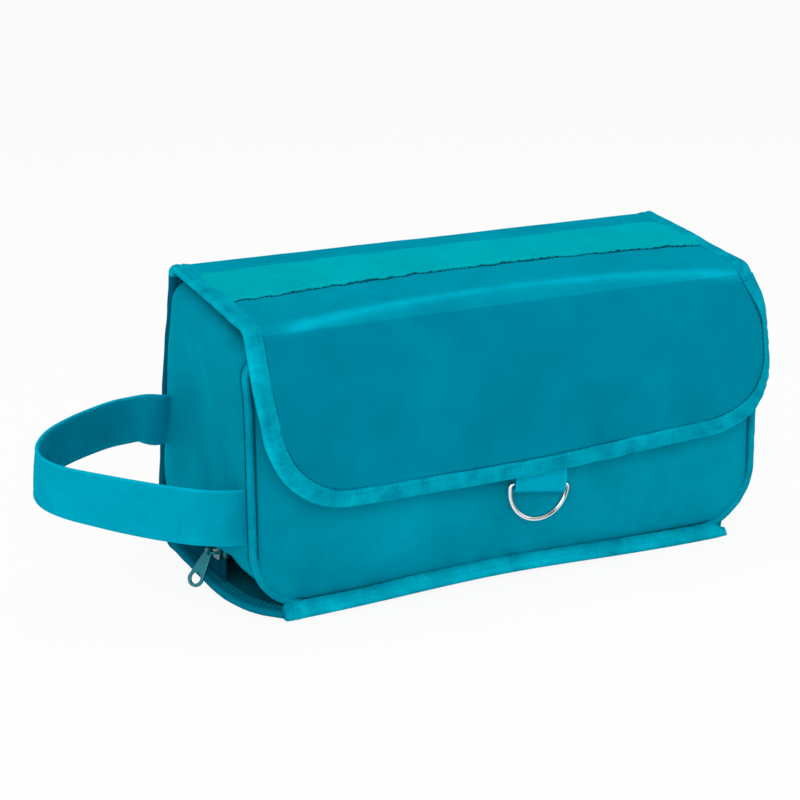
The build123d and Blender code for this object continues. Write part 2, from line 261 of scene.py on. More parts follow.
def sweep(name, path, side, up, section, finish, loop=False, sharp=40.0, rim=None):
    """Solid that carries a closed section of (side, up) along a path. side and up may be single vectors."""
    count = len(path)
    side, up = np.broadcast_to(side, path.shape), np.broadcast_to(up, path.shape)
    section = np.broadcast_to(section, (count,) + np.shape(section)[-2:])
    around = section.shape[1]
    points = path[:, None] + side[:, None] * section[..., :1] + up[:, None] * section[..., 1:]
    index = np.arange(count * around).reshape(count, around)
    if loop:
        index = np.concatenate([index, index[:1]])
    wrapped = np.concatenate([index, index[:, :1]], 1)
    quads = np.stack([wrapped[:-1, :-1], wrapped[1:, :-1], wrapped[1:, 1:], wrapped[:-1, 1:]], -1)
    faces = [list(face) for face in quads.reshape(-1, 4)]
    if not loop:
        faces += [list(index[0]), list(index[-1][::-1])]
    girth = distances(np.concatenate([section[0], section[0, :1]]))[:-1]
    uv = np.stack(np.meshgrid(distances(path), girth, indexing="ij"), -1).reshape(-1, 2)
    return make_piece(name, points.reshape(-1, 3), faces, [finish], None, uv, rim, sharp)


def joined(name, parts):
    """One object from several, with one set of materials."""
    for made in bpy.context.selected_objects:
        made.select_set(False)
    for made in parts:
        made.select_set(True)
    bpy.context.view_layer.objects.active = parts[0]
    bpy.ops.object.join()
    parts[0].name = name
    parts[0].data.name = name
    parts[0].select_set(False)
    return parts[0]


def ring_section(radius, count=14):
    """Round section."""
    turn = np.linspace(0, 2 * math.pi, count, endpoint=False)
    return radius * np.stack([np.cos(turn), np.sin(turn)], 1)


# Materials
def add_node(tree, kind, settings=None, feeds=None):
    """Node with its settings, and with its inputs linked or set."""
    made = tree.nodes.new(kind)
    for key, value in (settings or {}).items():
        setattr(made, key, value)
    for key, value in (feeds or {}).items():
        value = getattr(value, "socket", value)
        if isinstance(value, bpy.types.NodeSocket):
            tree.links.new(value, made.inputs[key])
        else:
            made.inputs[key].default_value = value
    return made


class Wire:
    """A shader socket with maths in Python expressions."""

    def __init__(self, finish, socket):
        self.finish, self.socket = finish, socket

    def math(self, operation, *values):
        return self.finish.wire("ShaderNodeMath", {"operation": operation}, dict(enumerate(values)))

    def __add__(self, other):
        return self.math("ADD", self, other)

    def __sub__(self, other):
        return self.math("SUBTRACT", self, other)

    def __rsub__(self, other):
        return self.math("SUBTRACT", other, self)

    def __mul__(self, other):
        return self.math("MULTIPLY", self, other)

    __radd__ = __add__
    __rmul__ = __mul__

    def sine(self):
        return self.math("SINE", self)

    def clamp(self):
        return self.finish.wire("ShaderNodeClamp", {}, {"Value": self})


class Finish:
    """The nodes of one material, or of the world."""

    def __init__(self, owner):
        owner.use_nodes = True
        self.owner, self.tree = owner, owner.node_tree
        self.tree.nodes.clear()

    def node(self, kind, settings=None, feeds=None):
        return add_node(self.tree, kind, settings, feeds)

    def wire(self, kind, settings=None, feeds=None, output=0):
        return Wire(self, self.node(kind, settings, feeds).outputs[output])

    def place(self):
        """Position on the object, in metres."""
        return self.wire("ShaderNodeTexCoord", {}, {}, "Object")

    def rim(self):
        """The mesh's mark: above 0 for rubbed edges, painted highlight and painted dark reflection; below 0
        for painted shade.
        """
        return self.wire("ShaderNodeAttribute", {"attribute_name": "rim"}, {}, "Fac")

    def cloth_uv(self):
        """The two directions of the cloth, in metres."""
        uv = self.wire("ShaderNodeUVMap", {"uv_map": "cloth"})
        split = self.node("ShaderNodeSeparateXYZ", {}, {"Vector": uv})
        return Wire(self, split.outputs["X"]), Wire(self, split.outputs["Y"])

    def noise(self, vector, scale, detail=2.0, roughness=0.5, distortion=0.0):
        feeds = {"Scale": scale, "Detail": detail, "Roughness": roughness, "Distortion": distortion}
        return self.wire("ShaderNodeTexNoise", {}, {"Vector": vector, **feeds}, "Fac")

    def threads(self, x, y):
        """Noise drawn out along the threads of one direction."""
        return self.noise(self.wire("ShaderNodeCombineXYZ", {}, {"X": x, "Y": y, "Z": 0.0}), 1.0)

    def mix(self, share, first, second):
        """Blend of two colours."""
        return self.wire("ShaderNodeMix", {"data_type": "RGBA"}, {0: share, 6: first, 7: second}, 2)

    def bump(self, height, distance, strength, under=None):
        feeds = {"Height": height, "Distance": distance, "Strength": strength}
        if under is not None:
            feeds["Normal"] = under
        return self.wire("ShaderNodeBump", {}, feeds)

    def close(self, shader="ShaderNodeBsdfPrincipled", end="ShaderNodeOutputMaterial", **feeds):
        """Ends the nodes in a shader with these inputs, and gives their owner."""
        surface = self.wire(shader, {}, {key.replace("_", " "): value for key, value in feeds.items()})
        self.node(end, {}, {"Surface": surface})
        return self.owner


def material(name):
    return Finish(bpy.data.materials.new(name))


def teal(green, blue, red=0.0):
    """Colour from linear red, green and blue."""
    return (red, green, blue, 1.0)


GLEAM = teal(0.60, 0.80)
THREAD_RATE, SLUB_RATE = 1500.0, 55.0


def woven(
    name, dark, light, rough=0.44, pitch=0.45, relief=0.00004, crease=0.0007, sheen=0.45, wear_and_highlight=0.3, grain=26.0
):
    """Woven cloth: a plain weave, thread-to-thread colour change, soft creases, rubbed edges, painted
    highlight and painted shade.
    """
    finish = material(name)
    u, v = finish.cloth_uv()
    place, rim = finish.place(), finish.rim()
    mottle = finish.noise(place, grain, 4.0, 0.55, 0.4)
    patch = finish.noise(place, 75.0, 3.0, 0.6)
    warp = finish.threads(u * THREAD_RATE, v * SLUB_RATE)
    weft = finish.threads(u * SLUB_RATE, v * THREAD_RATE)
    tone = (mottle - 0.5) * 1.5 + (patch - 0.5) * 0.6 + (warp - 0.5) * 0.45 + (weft - 0.5) * 0.35 + 0.5
    colour = finish.mix(tone.clamp(), dark, light)
    # Paler where the mark is above 0: rubbed edges, and the painted highlight along the front fold.
    wear_and_highlight_share = (rim * (patch * 1.4 + 0.1) * wear_and_highlight).clamp()
    colour = finish.mix(wear_and_highlight_share, colour, teal(light[1] * 1.45 + 0.02, light[2] * 1.4 + 0.02, light[0]))
    # Painted shade: darker where the mark is below 0, in seams and creases.
    painted_shade = (0.0 - rim).clamp() * 0.85
    colour = finish.mix(painted_shade, colour, teal(dark[1] * 0.3, dark[2] * 0.36))
    rate = math.pi / (pitch * MM)
    weave = (u * rate).sine() * (v * rate).sine()
    folds = finish.noise(place, 42.0, 3.0, 0.5, 0.8) + patch * 0.35
    return finish.close(
        Base_Color=colour,
        Metallic=0.1,
        Roughness=(rough + (mottle - 0.5) * 0.2 + (warp - 0.5) * 0.12 + wear_and_highlight_share * 0.1).clamp(),
        Normal=finish.bump(folds, crease, 0.55, finish.bump(weave, relief, 0.6)),
        Specular_IOR_Level=0.0,
        Specular_Tint=GLEAM,
        Sheen_Weight=sheen,
        Sheen_Roughness=0.4,
        Sheen_Tint=GLEAM,
    )


def metal(name, colour, rough, coat=0.0, metallic=1.0):
    """Polished or enamelled metal with fine handling marks, and a painted dark reflection where the mesh's
    mark is above 0.
    """
    finish = material(name)
    place = finish.place()
    smear = finish.noise(place, 210.0, 3.0, 0.6)
    marks = finish.noise(place, 1900.0, 2.0, 0.7, 1.5)
    # The mesh's mark above 0 mixes in a painted dark reflection.
    dull, dark_reflection_colour = (tuple(c * share for c in colour[:3]) + (1.0,) for share in (0.78, 0.05))
    return finish.close(
        Base_Color=finish.mix(finish.rim().clamp(), finish.mix(smear * 0.5, colour, dull), dark_reflection_colour),
        Metallic=metallic,
        Roughness=(rough + smear * 0.1 + (marks - 0.5) * 0.06).clamp(),
        Normal=finish.bump(marks, 0.00002, 0.25),
        Coat_Weight=coat,
        Coat_Roughness=0.12,
    )


def fuzzy(name, dark, light):
    """Hook-and-loop tape: a dense field of tiny loops."""
    finish = material(name)
    place = finish.place()
    loops = finish.noise(place, 2600.0, 2.0, 0.6, 1.2)
    patch = finish.noise(place, 140.0, 3.0)
    colour = finish.mix((loops * 0.8 + patch * 0.4 - 0.1).clamp(), dark, light)
    return finish.close(Base_Color=colour, Roughness=0.85, Normal=finish.bump(loops, 0.0006, 0.9))


SATIN = woven("satin_nylon", teal(0.205, 0.300), teal(0.305, 0.430))
# A darker copy of the satin for the flap: painted shade.
SHADED_FLAP_SATIN = woven("flap_satin_shaded", teal(0.172, 0.262), teal(0.235, 0.350))
TAPE_WEAVE = {"pitch": 0.7, "relief": 0.00006}
DARK_TAPE = {**TAPE_WEAVE, "rough": 0.5, "crease": 0.0005, "sheen": 0.2}
FINE = {"rough": 0.6, "pitch": 0.3, "relief": 0.00003, "crease": 0.0001, "sheen": 0.1}
PALE_TAPE = {**TAPE_WEAVE, "rough": 0.48, "crease": 0.0008, "sheen": 0.4, "wear_and_highlight": 0.35, "grain": 95.0}
TAPE = woven("binding_tape", teal(0.17, 0.26), teal(0.43, 0.57), **PALE_TAPE)
# Darker copies of the binding tape: painted shade on the bottom's edges and, darker still, on the rear bend
# and back.
SHADED_LOW_TAPE = woven("bottom_binding_tape_shaded", teal(0.10, 0.17), teal(0.19, 0.29), **DARK_TAPE)
SHADED_TAPE = woven("back_binding_tape_shaded", teal(0.055, 0.10), teal(0.11, 0.18), **DARK_TAPE)
CORD_TAPE = woven("piping_satin", teal(0.19, 0.28), teal(0.34, 0.47), 0.45, 0.6, 0.00005, 0.0004, grain=80.0)
BAND = woven("top_band", teal(0.31, 0.37), teal(0.42, 0.47), 0.5, 0.6, 0.00005, 0.0007)
WEBBING = woven("strap_satin", teal(0.27, 0.39), teal(0.39, 0.55), 0.42, 0.55, 0.00005, 0.0006)
LINING = woven("lining_nylon", teal(0.08, 0.12), teal(0.13, 0.18), 0.55, 0.5, 0.00004, 0.0008, 0.1)
# Dark zip tape: partly the cloth's own colour, partly painted shade of the zip's recess.
ZIP_CLOTH = woven("zip_tape", teal(0.04, 0.075), teal(0.08, 0.13), 0.6, 0.8, 0.00008, 0.0002, 0.1)
THREAD = woven("stitch_thread", teal(0.29, 0.40), teal(0.46, 0.60), 0.5, 0.3, 0.00003, 0.0001)
# Dark beads in seams: painted shadow.
SEAM_SHADOW_PAINT = woven("seam_shadow", teal(0.10, 0.16), teal(0.15, 0.23), **FINE)
DARK_THREAD = woven("dark_thread", teal(0.03, 0.06), teal(0.07, 0.11), **FINE)
COIL = metal("zip_coil", teal(0.035, 0.07), 0.45, metallic=0.0)
ENAMEL = metal("zip_enamel", teal(0.14, 0.165), 0.3, 0.15, 0.75)
CHROME = metal("ring_chrome", (0.82, 0.84, 0.84, 1.0), 0.07)
HOOKS = fuzzy("hook_and_loop", teal(0.07, 0.11), teal(0.17, 0.25))


# Rows of repeated small shapes along a path
def make_repeat_tree():
    """Geometry Nodes: one rounded bead again and again along a path, turned with it."""
    tree = bpy.data.node_groups.new("beads_along_path", "GeometryNodeTree")
    inputs = {"Path": "Geometry", "Pitch": "Float", "Bead size": "Vector", "Finish": "Material"}
    for label, kind in inputs.items():
        tree.interface.new_socket(label, in_out="INPUT", socket_type="NodeSocket" + kind)
    tree.interface.new_socket("Beads", in_out="OUTPUT", socket_type="NodeSocketGeometry")
    given = tree.nodes.new("NodeGroupInput").outputs

    def add(kind, settings=None, output=0, **feeds):
        return add_node(tree, kind, settings, feeds).outputs[output]

    curve = add("GeometryNodeMeshToCurve", Mesh=given["Path"])
    spaced = add("GeometryNodeResampleCurve", {"mode": "LENGTH"}, Curve=curve, Length=given["Pitch"])
    mark = {"data_type": "FLOAT_VECTOR"}
    facing = add("GeometryNodeInputNamedAttribute", mark, "Attribute", Name="facing")
    ahead = add("GeometryNodeInputTangent")
    along = add("FunctionNodeAlignRotationToVector", {"axis": "X"}, Vector=ahead)
    about = {"axis": "Z", "pivot_axis": "X"}
    turned = add("FunctionNodeAlignRotationToVector", about, Rotation=along, Vector=facing)
    bead = add("GeometryNodeMeshUVSphere", Segments=8, Rings=5, Radius=0.5)
    given_size = given["Bead size"]
    row = add("GeometryNodeInstanceOnPoints", Points=spaced, Instance=bead, Rotation=turned, Scale=given_size)
    real = add("GeometryNodeRealizeInstances", Geometry=row)
    smooth = add("GeometryNodeSetShadeSmooth", Geometry=real)
    painted = add("GeometryNodeSetMaterial", Geometry=smooth, Material=given["Finish"])
    add_node(tree, "NodeGroupOutput", None, {"Beads": painted})
    return tree


REPEAT = make_repeat_tree()


def beads(name, paths, pitch, size, finish):
    """Plain mesh of beads along paths, each a pair of (points, facing directions) in millimetres."""
    points = np.concatenate([path for path, _ in paths])
    facing = np.concatenate([np.broadcast_to(face, path.shape) for path, face in paths])
    ends = np.cumsum([len(path) for path, _ in paths])
    edges = [(i, i + 1) for i in range(len(points) - 1) if i + 1 not in ends]
    mesh = bpy.data.meshes.new(name)
    mesh.from_pydata((points * MM).tolist(), edges, [])
    mark = mesh.attributes.new("facing", "FLOAT_VECTOR", "POINT")
    mark.data.foreach_set("vector", facing.astype(np.float32).ravel())
    carrier = add_object(name + "_path", mesh)
    modifier = carrier.modifiers.new("beads", "NODES")
    modifier.node_group = REPEAT
    keys = {i.name: i.identifier for i in REPEAT.interface.items_tree if i.in_out == "INPUT"}
    modifier[keys["Pitch"]] = pitch * MM
    modifier[keys["Bead size"]] = [length * MM for length in size]
    modifier[keys["Finish"]] = finish
    plain = plain_mesh(carrier)
    plain.name = name
    return add_object(name, plain)


STITCH = (1.7, 0.42, 0.30)
STITCH_PITCH = 2.4


# The cover: its line from the bottom's front edge over the back and top to the flap's lower edge
def flat_run(start, run, out, length, count):
    """Straight stretch of the cover's outer line."""
    t = np.linspace(0, length, count)[:, None]
    return start + t * run, np.repeat(out[None], count, 0)


def flap_turn(height):
    """Angle about the flap's centre at a height."""
    return 180 + np.degrees(np.arcsin((FLAP_CENTRE[1] - height) / FLAP_RADIUS))


def make_runs():
    """Each stretch of the cover: its line, outward directions and distance from the front edge."""
    flat = np.array([1.0, 0.0]), np.array([0.0, -1.0])
    lines = {
        "bottom": flat_run(np.array([BOTTOM_FRONT, 0.0]), *flat, REAR[0] - BOTTOM_FRONT, 30),
        "rear_bend": arc(REAR, REAR_RADIUS, -90, LEAN_DEG, 19),
        "back": flat_run(REAR + REAR_RADIUS * OUT, UP, OUT, BACK_LENGTH, 40),
        "top_rear_bend": arc(TOP_REAR, TOP_REAR_RADIUS, LEAN_DEG, 90 + SLOPE_DEG, 13),
        "top": flat_run(TOP_REAR + TOP_REAR_RADIUS * TOP_OUT, RUN, TOP_OUT, TOP_LENGTH, 39),
        "front_bend": arc(FRONT, FRONT_RADIUS, 90 + SLOPE_DEG, FRONT_FOLD_END, 11),
        "flap": arc(FLAP_CENTRE, FLAP_RADIUS, FRONT_FOLD_END, flap_turn(FLAP_LOW), 34),
    }
    runs, start = {}, 0.0
    for label, (line, out) in lines.items():
        at = start + distances(line)
        runs[label] = {"line": line, "out": out, "at": at}
        start = at[-1]
    return runs


RUNS = make_runs()
LIVELY = {"back": 0.3, "top_rear_bend": 0.2, "top": 0.2, "front_bend": 0.3, "flap": 0.3}


def run_knots(levels, middles, last):
    """Knots at the start and middle of each stretch, with their levels."""
    knots, values = [], []
    for label, run in RUNS.items():
        knots.append(run["at"][0])
        values.append(levels.get(label, 0.0))
        if label in middles:
            knots.append((run["at"][0] + run["at"][-1]) / 2)
            values.append(middles[label])
    return knots + [RUNS["flap"]["at"][-1]], values + [last]


RIPPLES = run_knots(LIVELY, {"back": 1.0, "top": 0.55, "flap": 1.0}, 0.7)
CROWN = run_knots({"front_bend": 1.5, "flap": 1.4}, {"top": 1.7, "flap": 1.1}, 0.2)
BACK_SWELL = run_knots({}, {"back": 2.4}, 0.0)
REST = run_knots({"bottom": -0.45, "rear_bend": -0.45}, {}, 0.0)


def lift(x, at):
    """How far the cover's cloth stands out from its flat lines, at a distance along it."""
    waves = 0.32 * ripple(x, at, 3, 95, 60) + 0.13 * ripple(x, at, 4, 30, 34)
    share = (x / 130.0) ** 2
    swell = eased(at, *CROWN) * (1 - share) + eased(at, *BACK_SWELL) * (1 - 0.2 * share)
    return waves * eased(at, *RIPPLES) + swell + eased(at, *REST)


def foot_lift(x):
    """How far the bottom's front edge lifts off the ground along it."""
    return 2.9 * np.exp(-(((x + 10) / 64) ** 2)) - 0.25


def cover_point(x, line, out, at, depth=0.0):
    """Points of the cover's cloth, depth below its outer face."""
    rise = lift(x, at) - depth
    x = x - 5.0 * soft_step(x, 96, 116) * soft_step(-at, -30, -2)
    y = line[..., 0] + out[..., 0] * rise
    z = line[..., 1] + out[..., 1] * rise + np.maximum(foot_lift(x), 0) * soft_step(-at, -34, 0)
    return np.stack(np.broadcast_arrays(x, y, z), -1)


def fold_highlight(x, at):
    """Painted highlight along the front fold, lower at its ends."""
    line = RUNS["front_bend"]["at"][0] - 1.0 + 11.0 * (x / 125) ** 2
    return 2.4 * np.exp(-(((at - line) / 2.8) ** 2)) * soft_step(x, -119, -100)


def bottom_half():
    """Half width of the bottom at each of its rows, drawn in at the front."""
    plan = [(-55.3, 113.0), (-47, 119.4), (-36, 124.2), (-22, 126.3), (-4, 126.4), (20, 125.2), (47, 124.0)]
    y, half = smooth_line(plan, 1.0).T
    return np.interp(RUNS["bottom"]["line"][:, 0], y, half)


HALVES = {label: np.full(len(run["at"]), SHEET_HALF) for label, run in RUNS.items()}
HALVES["bottom"] = bottom_half()


def cover_panel(label, columns=84):
    """One stretch of the cover's cloth."""
    line, out, at = (RUNS[label][key][:, None] for key in ("line", "out", "at"))
    half = HALVES[label][:, None]
    x = half * np.linspace(-1, 1, columns)[None]
    outer = cover_point(x, line, out, at)
    uv = np.stack(np.broadcast_arrays(x, at), -1)
    toward = np.insert(out, 0, 0.0, axis=-1)
    # Rubbed edges, and the painted highlight along the front fold.
    wear_and_highlight = soft_step(np.abs(x) / half, 0.965, 1.0) + fold_highlight(x, at)
    return shell(label + "_cloth", outer, COVER, [SATIN, LINING], toward, uv, wear_and_highlight)


def flap_outline():
    """Edge of the flap's cloth from the fold to its lower corner, as (half width, z)."""
    top = (SHEET_HALF, FLAP_CENTRE[1] + FLAP_RADIUS * math.sin(math.radians(FRONT_FOLD_END)))
    slant = math.atan2(SHEET_HALF - FLAP_LOW_HALF, FLAP_SHOULDER - FLAP_LOW)
    reach = FLAP_CORNER / math.tan((math.pi / 2 + slant) / 2)
    centre = (FLAP_LOW_HALF - reach, FLAP_LOW + FLAP_CORNER)
    corner, _ = arc(centre, FLAP_CORNER, -math.degrees(slant), -90, 18)
    return respace(np.concatenate([[top, (SHEET_HALF, FLAP_SHOULDER)], corner]), 1.3)


def flap_shift(x, z):
    """The flap's outline as it hangs: full on the right, where its lower corner also lifts."""
    near_top = soft_step(-z, -130, -100)
    puff = 10.0 * near_top * np.clip(x / 127, 0, 2) ** 3
    puff = puff - 1.2 * near_top * soft_step(z, 90, 112) * np.clip(-x / 127, 0, 2) ** 3
    rise = 4.6 * soft_step(x, -5, 100) * soft_step(-z, -110, -56)
    return x + puff, z + rise


def flap_surface(x, z, depth=0.0):
    """Points of the flap's cloth at (x, z), their outward directions and distances along the cover."""
    near_top = soft_step(-z, -128, -96)
    x, z = flap_shift(x, z)
    turn = np.radians(flap_turn(z))
    out = np.stack([np.cos(turn), np.sin(turn)], -1)
    at = RUNS["flap"]["at"][0] + FLAP_RADIUS * (turn - math.radians(FRONT_FOLD_END))
    points = cover_point(x, FLAP_CENTRE + FLAP_RADIUS * out, out, at, depth)
    over = np.maximum(x - 112.0, 0)
    points[..., 1] += 0.020 * over**2 * near_top
    slope = 0.040 * over * near_top
    toward = np.stack([slope, out[..., 0], out[..., 1]], -1)
    points[..., 0] += 0.35 * slope * (HALF_COVER - depth)
    return points, unit(toward), at


FLAP_EDGE = flap_outline()


def flap_panel(columns=96):
    """The flap's cloth."""
    across = np.linspace(-1, 1, columns)[None]
    x = FLAP_EDGE[:, :1] * across
    outer, toward, at = flap_surface(x, np.repeat(FLAP_EDGE[:, 1:], columns, 1))
    # Rubbed edges, and the painted highlight along the front fold.
    wear_and_highlight = soft_step(np.abs(across), 0.965, 1.0) * np.ones(x.shape) + fold_highlight(x, at)
    uv = np.stack([x, at], -1)
    return shell("flap_cloth", outer, COVER, [SHADED_FLAP_SATIN, LINING], toward, uv, wear_and_highlight)


cloths = {label: cover_panel(label) for label in ("bottom", "back", "top")}
flap_cloth = flap_panel()
for label in ("rear_bend", "top_rear_bend", "front_bend"):
    cloths[label] = cover_panel(label)

# Folded tape round the cover's edges
TAPE_HALF = [
    (-5.0, 1.36), (-4.9, 1.62), (-3.9, 1.60), (-2.9, 1.88),
    (-1.7, 1.60), (-0.2, 1.98), (1.4, 1.92), (2.55, 1.25),
]
TAPE_OUTER = np.array(TAPE_HALF + [(3.05, 0.0)] + [(b, -n) for b, n in TAPE_HALF[::-1]])
TAPE_INNER = np.array([(-4.7, -1.30), (0.2, -1.30), (1.0, 0.0), (0.2, 1.30), (-4.7, 1.30)])
PUCKER_HALF = [0.2, 0.4, 0.0, 0.9, 0.0, 1.0, 0.8, 0.5]
PUCKER = np.array(PUCKER_HALF + [0.3] + [-p for p in PUCKER_HALF[::-1]])
STITCH_ROWS = (-3.95, -1.75)
STITCH_LIFT = 1.60


def tape_section(at, seed, curl, limit):
    """Section of the folded tape along an edge. curl deepens its wrinkles, limit flattens its outer side."""
    slanted = at[:, None] + 0.9 * TAPE_OUTER[None, :, 0]
    fine = wobble(slanted, seed, 6.5)
    broad = wobble(at, seed + 1, 23.0)
    height = (0.09 + 0.24 * curl)[:, None] * fine + 0.06 * broad[:, None]
    outer = np.repeat(TAPE_OUTER[None], len(at), 0)
    outer[..., 1] += height * PUCKER[None]
    outer[..., 0] += 0.10 * broad[:, None] + 0.03 * curl[:, None] * fine
    inner = np.repeat(TAPE_INNER[None], len(at), 0)
    section = np.concatenate([outer, inner], 1)
    section[..., 1] = np.minimum(section[..., 1], limit[:, None])
    return section


TAPE_RIM = np.concatenate([soft_step(TAPE_OUTER[:, 0], 1.2, 2.9), np.zeros(len(TAPE_INNER))])


def edge_tape(name, path, up, side, at, seed, finish=TAPE, curl=0.0, limit=9.0):
    """Folded tape along an edge, and the paths of its stitches."""
    section = tape_section(at, seed, np.broadcast_to(curl, at.shape), np.broadcast_to(limit, at.shape))
    made = sweep(name, path, side, up, section, finish, rim=np.tile(TAPE_RIM, len(path)), sharp=60)
    rows = [(path + side * row + up * face * STITCH_LIFT, up) for face in (1, -1) for row in STITCH_ROWS]
    return made, rows


def run_tapes(label, finish):
    """Tapes along both sides of one stretch of the cover, with the paths of their stitches."""
    line, out, at = (RUNS[label][key] for key in ("line", "out", "at"))
    tapes, rows = [], []
    limit = 1.66 + 8 * soft_step(at, RUNS["rear_bend"]["at"][0], RUNS["back"]["at"][0])
    up = np.insert(out, 0, 0.0, axis=-1)
    for hand in (-1, 1):
        path = cover_point(hand * HALVES[label], line, out, at, HALF_COVER)
        side = unit(np.cross(unit(np.gradient(path, axis=0)), up))
        side *= np.sign(side[:, :1]) * hand
        name = f"{label}_tape_{hand}"
        tape, stitched = edge_tape(name, path, up, side, at, 11 + hand, finish, limit=limit)
        tapes.append(tape)
        rows += stitched
    return joined(f"{label}_edge_binding", tapes), rows


# The bottom, rear bend and back take the darker tape copies, which paint their shade.
EDGE_FINISH = {
    "bottom": SHADED_LOW_TAPE,
    "rear_bend": SHADED_TAPE,
    "back": SHADED_TAPE,
    "top_rear_bend": TAPE,
    "top": TAPE,
    "front_bend": TAPE,
}
edge_tapes, edge_rows = {}, {}
for label, finish in EDGE_FINISH.items():
    edge_tapes[label], edge_rows[label] = run_tapes(label, finish)


def flap_edging():
    """Tape round the flap from fold to fold, the paths of its stitches, and dark beads that paint its seam's
    shadow.
    """
    low_half = FLAP_EDGE[-1, 0]
    across = np.linspace(-low_half, low_half, 80)[1:-1]
    x = np.concatenate([-FLAP_EDGE[:, 0], across, FLAP_EDGE[::-1, 0]])
    z = np.concatenate([FLAP_EDGE[:, 1], np.full(len(across), FLAP_LOW), FLAP_EDGE[::-1, 1]])
    path, up, _ = flap_surface(x, z, HALF_COVER)
    side = unit(np.cross(up, unit(np.gradient(path, axis=0))))
    side *= -np.sign(side[len(side) // 2, 2])
    side[0], side[-1] = -RIGHTWARD, RIGHTWARD
    corner = np.where(path[:, 0] < 0, 3.2, 1.0) * np.exp(-(((path[:, 2] - 72) / 15) ** 2))
    curl = 0.35 + corner * soft_step(np.abs(path[:, 0]), 70, 100)
    tape, rows = edge_tape("flap_edge_tape", path, up, side, distances(path) + 500, 31, curl=curl)
    # Dark beads at the tape's inner edge paint the seam's shadow.
    seam = [(path - side * 5.35 + up * 1.30, up)]
    return tape, rows, beads("flap_seam_shadow", seam, 2.1, (1.8, 0.6, 0.4), SEAM_SHADOW_PAINT)


flap_tape, flap_stitch_rows, flap_seam_shade = flap_edging()

# The wide band along the top, with its gathered front edge
BAND_START, BAND_WIDTH = 12.0, 38.0
band_columns = np.linspace(-121.5, 121.5, 190)


def on_top(x, far, rise):
    """Points above the top's cloth at a distance from the rear bend."""
    top = RUNS["top"]
    line = top["line"][0] + np.asarray(far)[..., None] * RUN
    return cover_point(x, line, np.broadcast_to(TOP_OUT, line.shape), top["at"][0] + far, -rise)


def band_front():
    """Distance from the rear bend to the band's front edge."""
    lumps = 0.5 * wobble(band_columns, 51, 14) + 0.5 * wobble(band_columns, 52, 60)
    return BAND_START + BAND_WIDTH - 2.6 * (1 - (band_columns / 120) ** 2) + lumps


def band_surface():
    """Outer grid of the band."""
    across = np.array([0.0, 0.4, 2.0, 6.0, 12.0, 18.0, 24.0, 29.0, 32.5, 35.0, 36.6, 37.4, 37.9, 38.0])
    height = np.array([0.1, 0.35, 0.55, 0.7, 0.8, 0.9, 0.95, 1.0, 1.1, 1.3, 1.45, 1.2, 0.7, 0.3])
    ends = 0.35 + 0.65 * soft_step(120.5 - np.abs(band_columns), 0, 9)
    width = band_front() - BAND_START
    gathers = wobble(band_columns, 53, 6.0)
    rows = []
    for step, rise in zip(across, height):
        pucker = 0.30 * gathers * soft_step(step, 22, 37)
        ease = 0.25 * ripple(band_columns, step, 54, 48, 26) * (step > 1)
        far = BAND_START + width * step / BAND_WIDTH
        rows.append(on_top(band_columns, far, (rise + pucker + ease) * ends))
    return np.stack(rows)


top_way = np.array([0.0, *TOP_OUT])
top_band = shell("top_band_strip", band_surface(), 0.8, [BAND, BAND], top_way)
gather_path = on_top(band_columns, band_front() + 0.5, 0.05)
band_stitches = beads("band_stitches", [(gather_path, top_way)], 2.1, (1.9, 1.1, 0.5), DARK_THREAD)
rear_row = on_top(band_columns[2:-2], np.full(len(band_columns) - 4, BAND_START + 1.7), 0.6)
band_rear_stitches = beads("band_rear_stitches", [(rear_row, top_way)], STITCH_PITCH, STITCH, BAND)


# The box: sides and top in one loft, from the front seam to the rim
def mouth_line():
    """Rear and lower edge of a side, from the front's foot to the rim's top, and the ways out of it."""
    low = [(-48, BOX_BASE), (-39, 6.2), (-30, 9.2), (-22, 13.2), (-17, 18.4), (-11, 22.6), (-3, MOUTH_Z)]
    low = smooth_line(low + [(MOUTH_CENTRE[0], MOUTH_Z)], 3.2)
    corner, corner_out = arc(MOUTH_CENTRE, MOUTH_BEND, -90, LEAN_DEG, 10)
    straight = REAR + np.linspace(MOUTH_END, RIM_LENGTH - HOOD_BEND, 24)[1:, None] * UP
    line = np.concatenate([low, corner[1:], straight])
    out = np.concatenate([np.repeat([[0.0, -1.0]], len(low), 0), corner_out[1:], np.repeat([OUT], 23, 0)])
    return line, out


def side_half(z):
    """Half width of the box at its rim at a height, drawn in round its low corner."""
    drop = np.clip(BOX_BASE + LOW_BEND - z, 0, LOW_BEND)
    return BOX_HALF - LOW_BEND + np.sqrt(LOW_BEND**2 - drop**2)


def front_half(z, inset=0.0):
    """Half width of the front at a height below its top corner."""
    bend = FRONT_LOW_BEND - inset
    drop = np.clip(FRONT_LOW + FRONT_LOW_BEND - z, 0, bend)
    return FRONT_HALF - FRONT_LOW_BEND + np.sqrt(bend**2 - drop**2)


def seam_y(z):
    """Depth of the front's seam at a height: it comes forward where the box is full."""
    return eased(z, [4.0, 34.0, 92.0, 118.0], [-54.4, -56.0, -56.0, -52.2])


HOOD_SWELL = 2.3


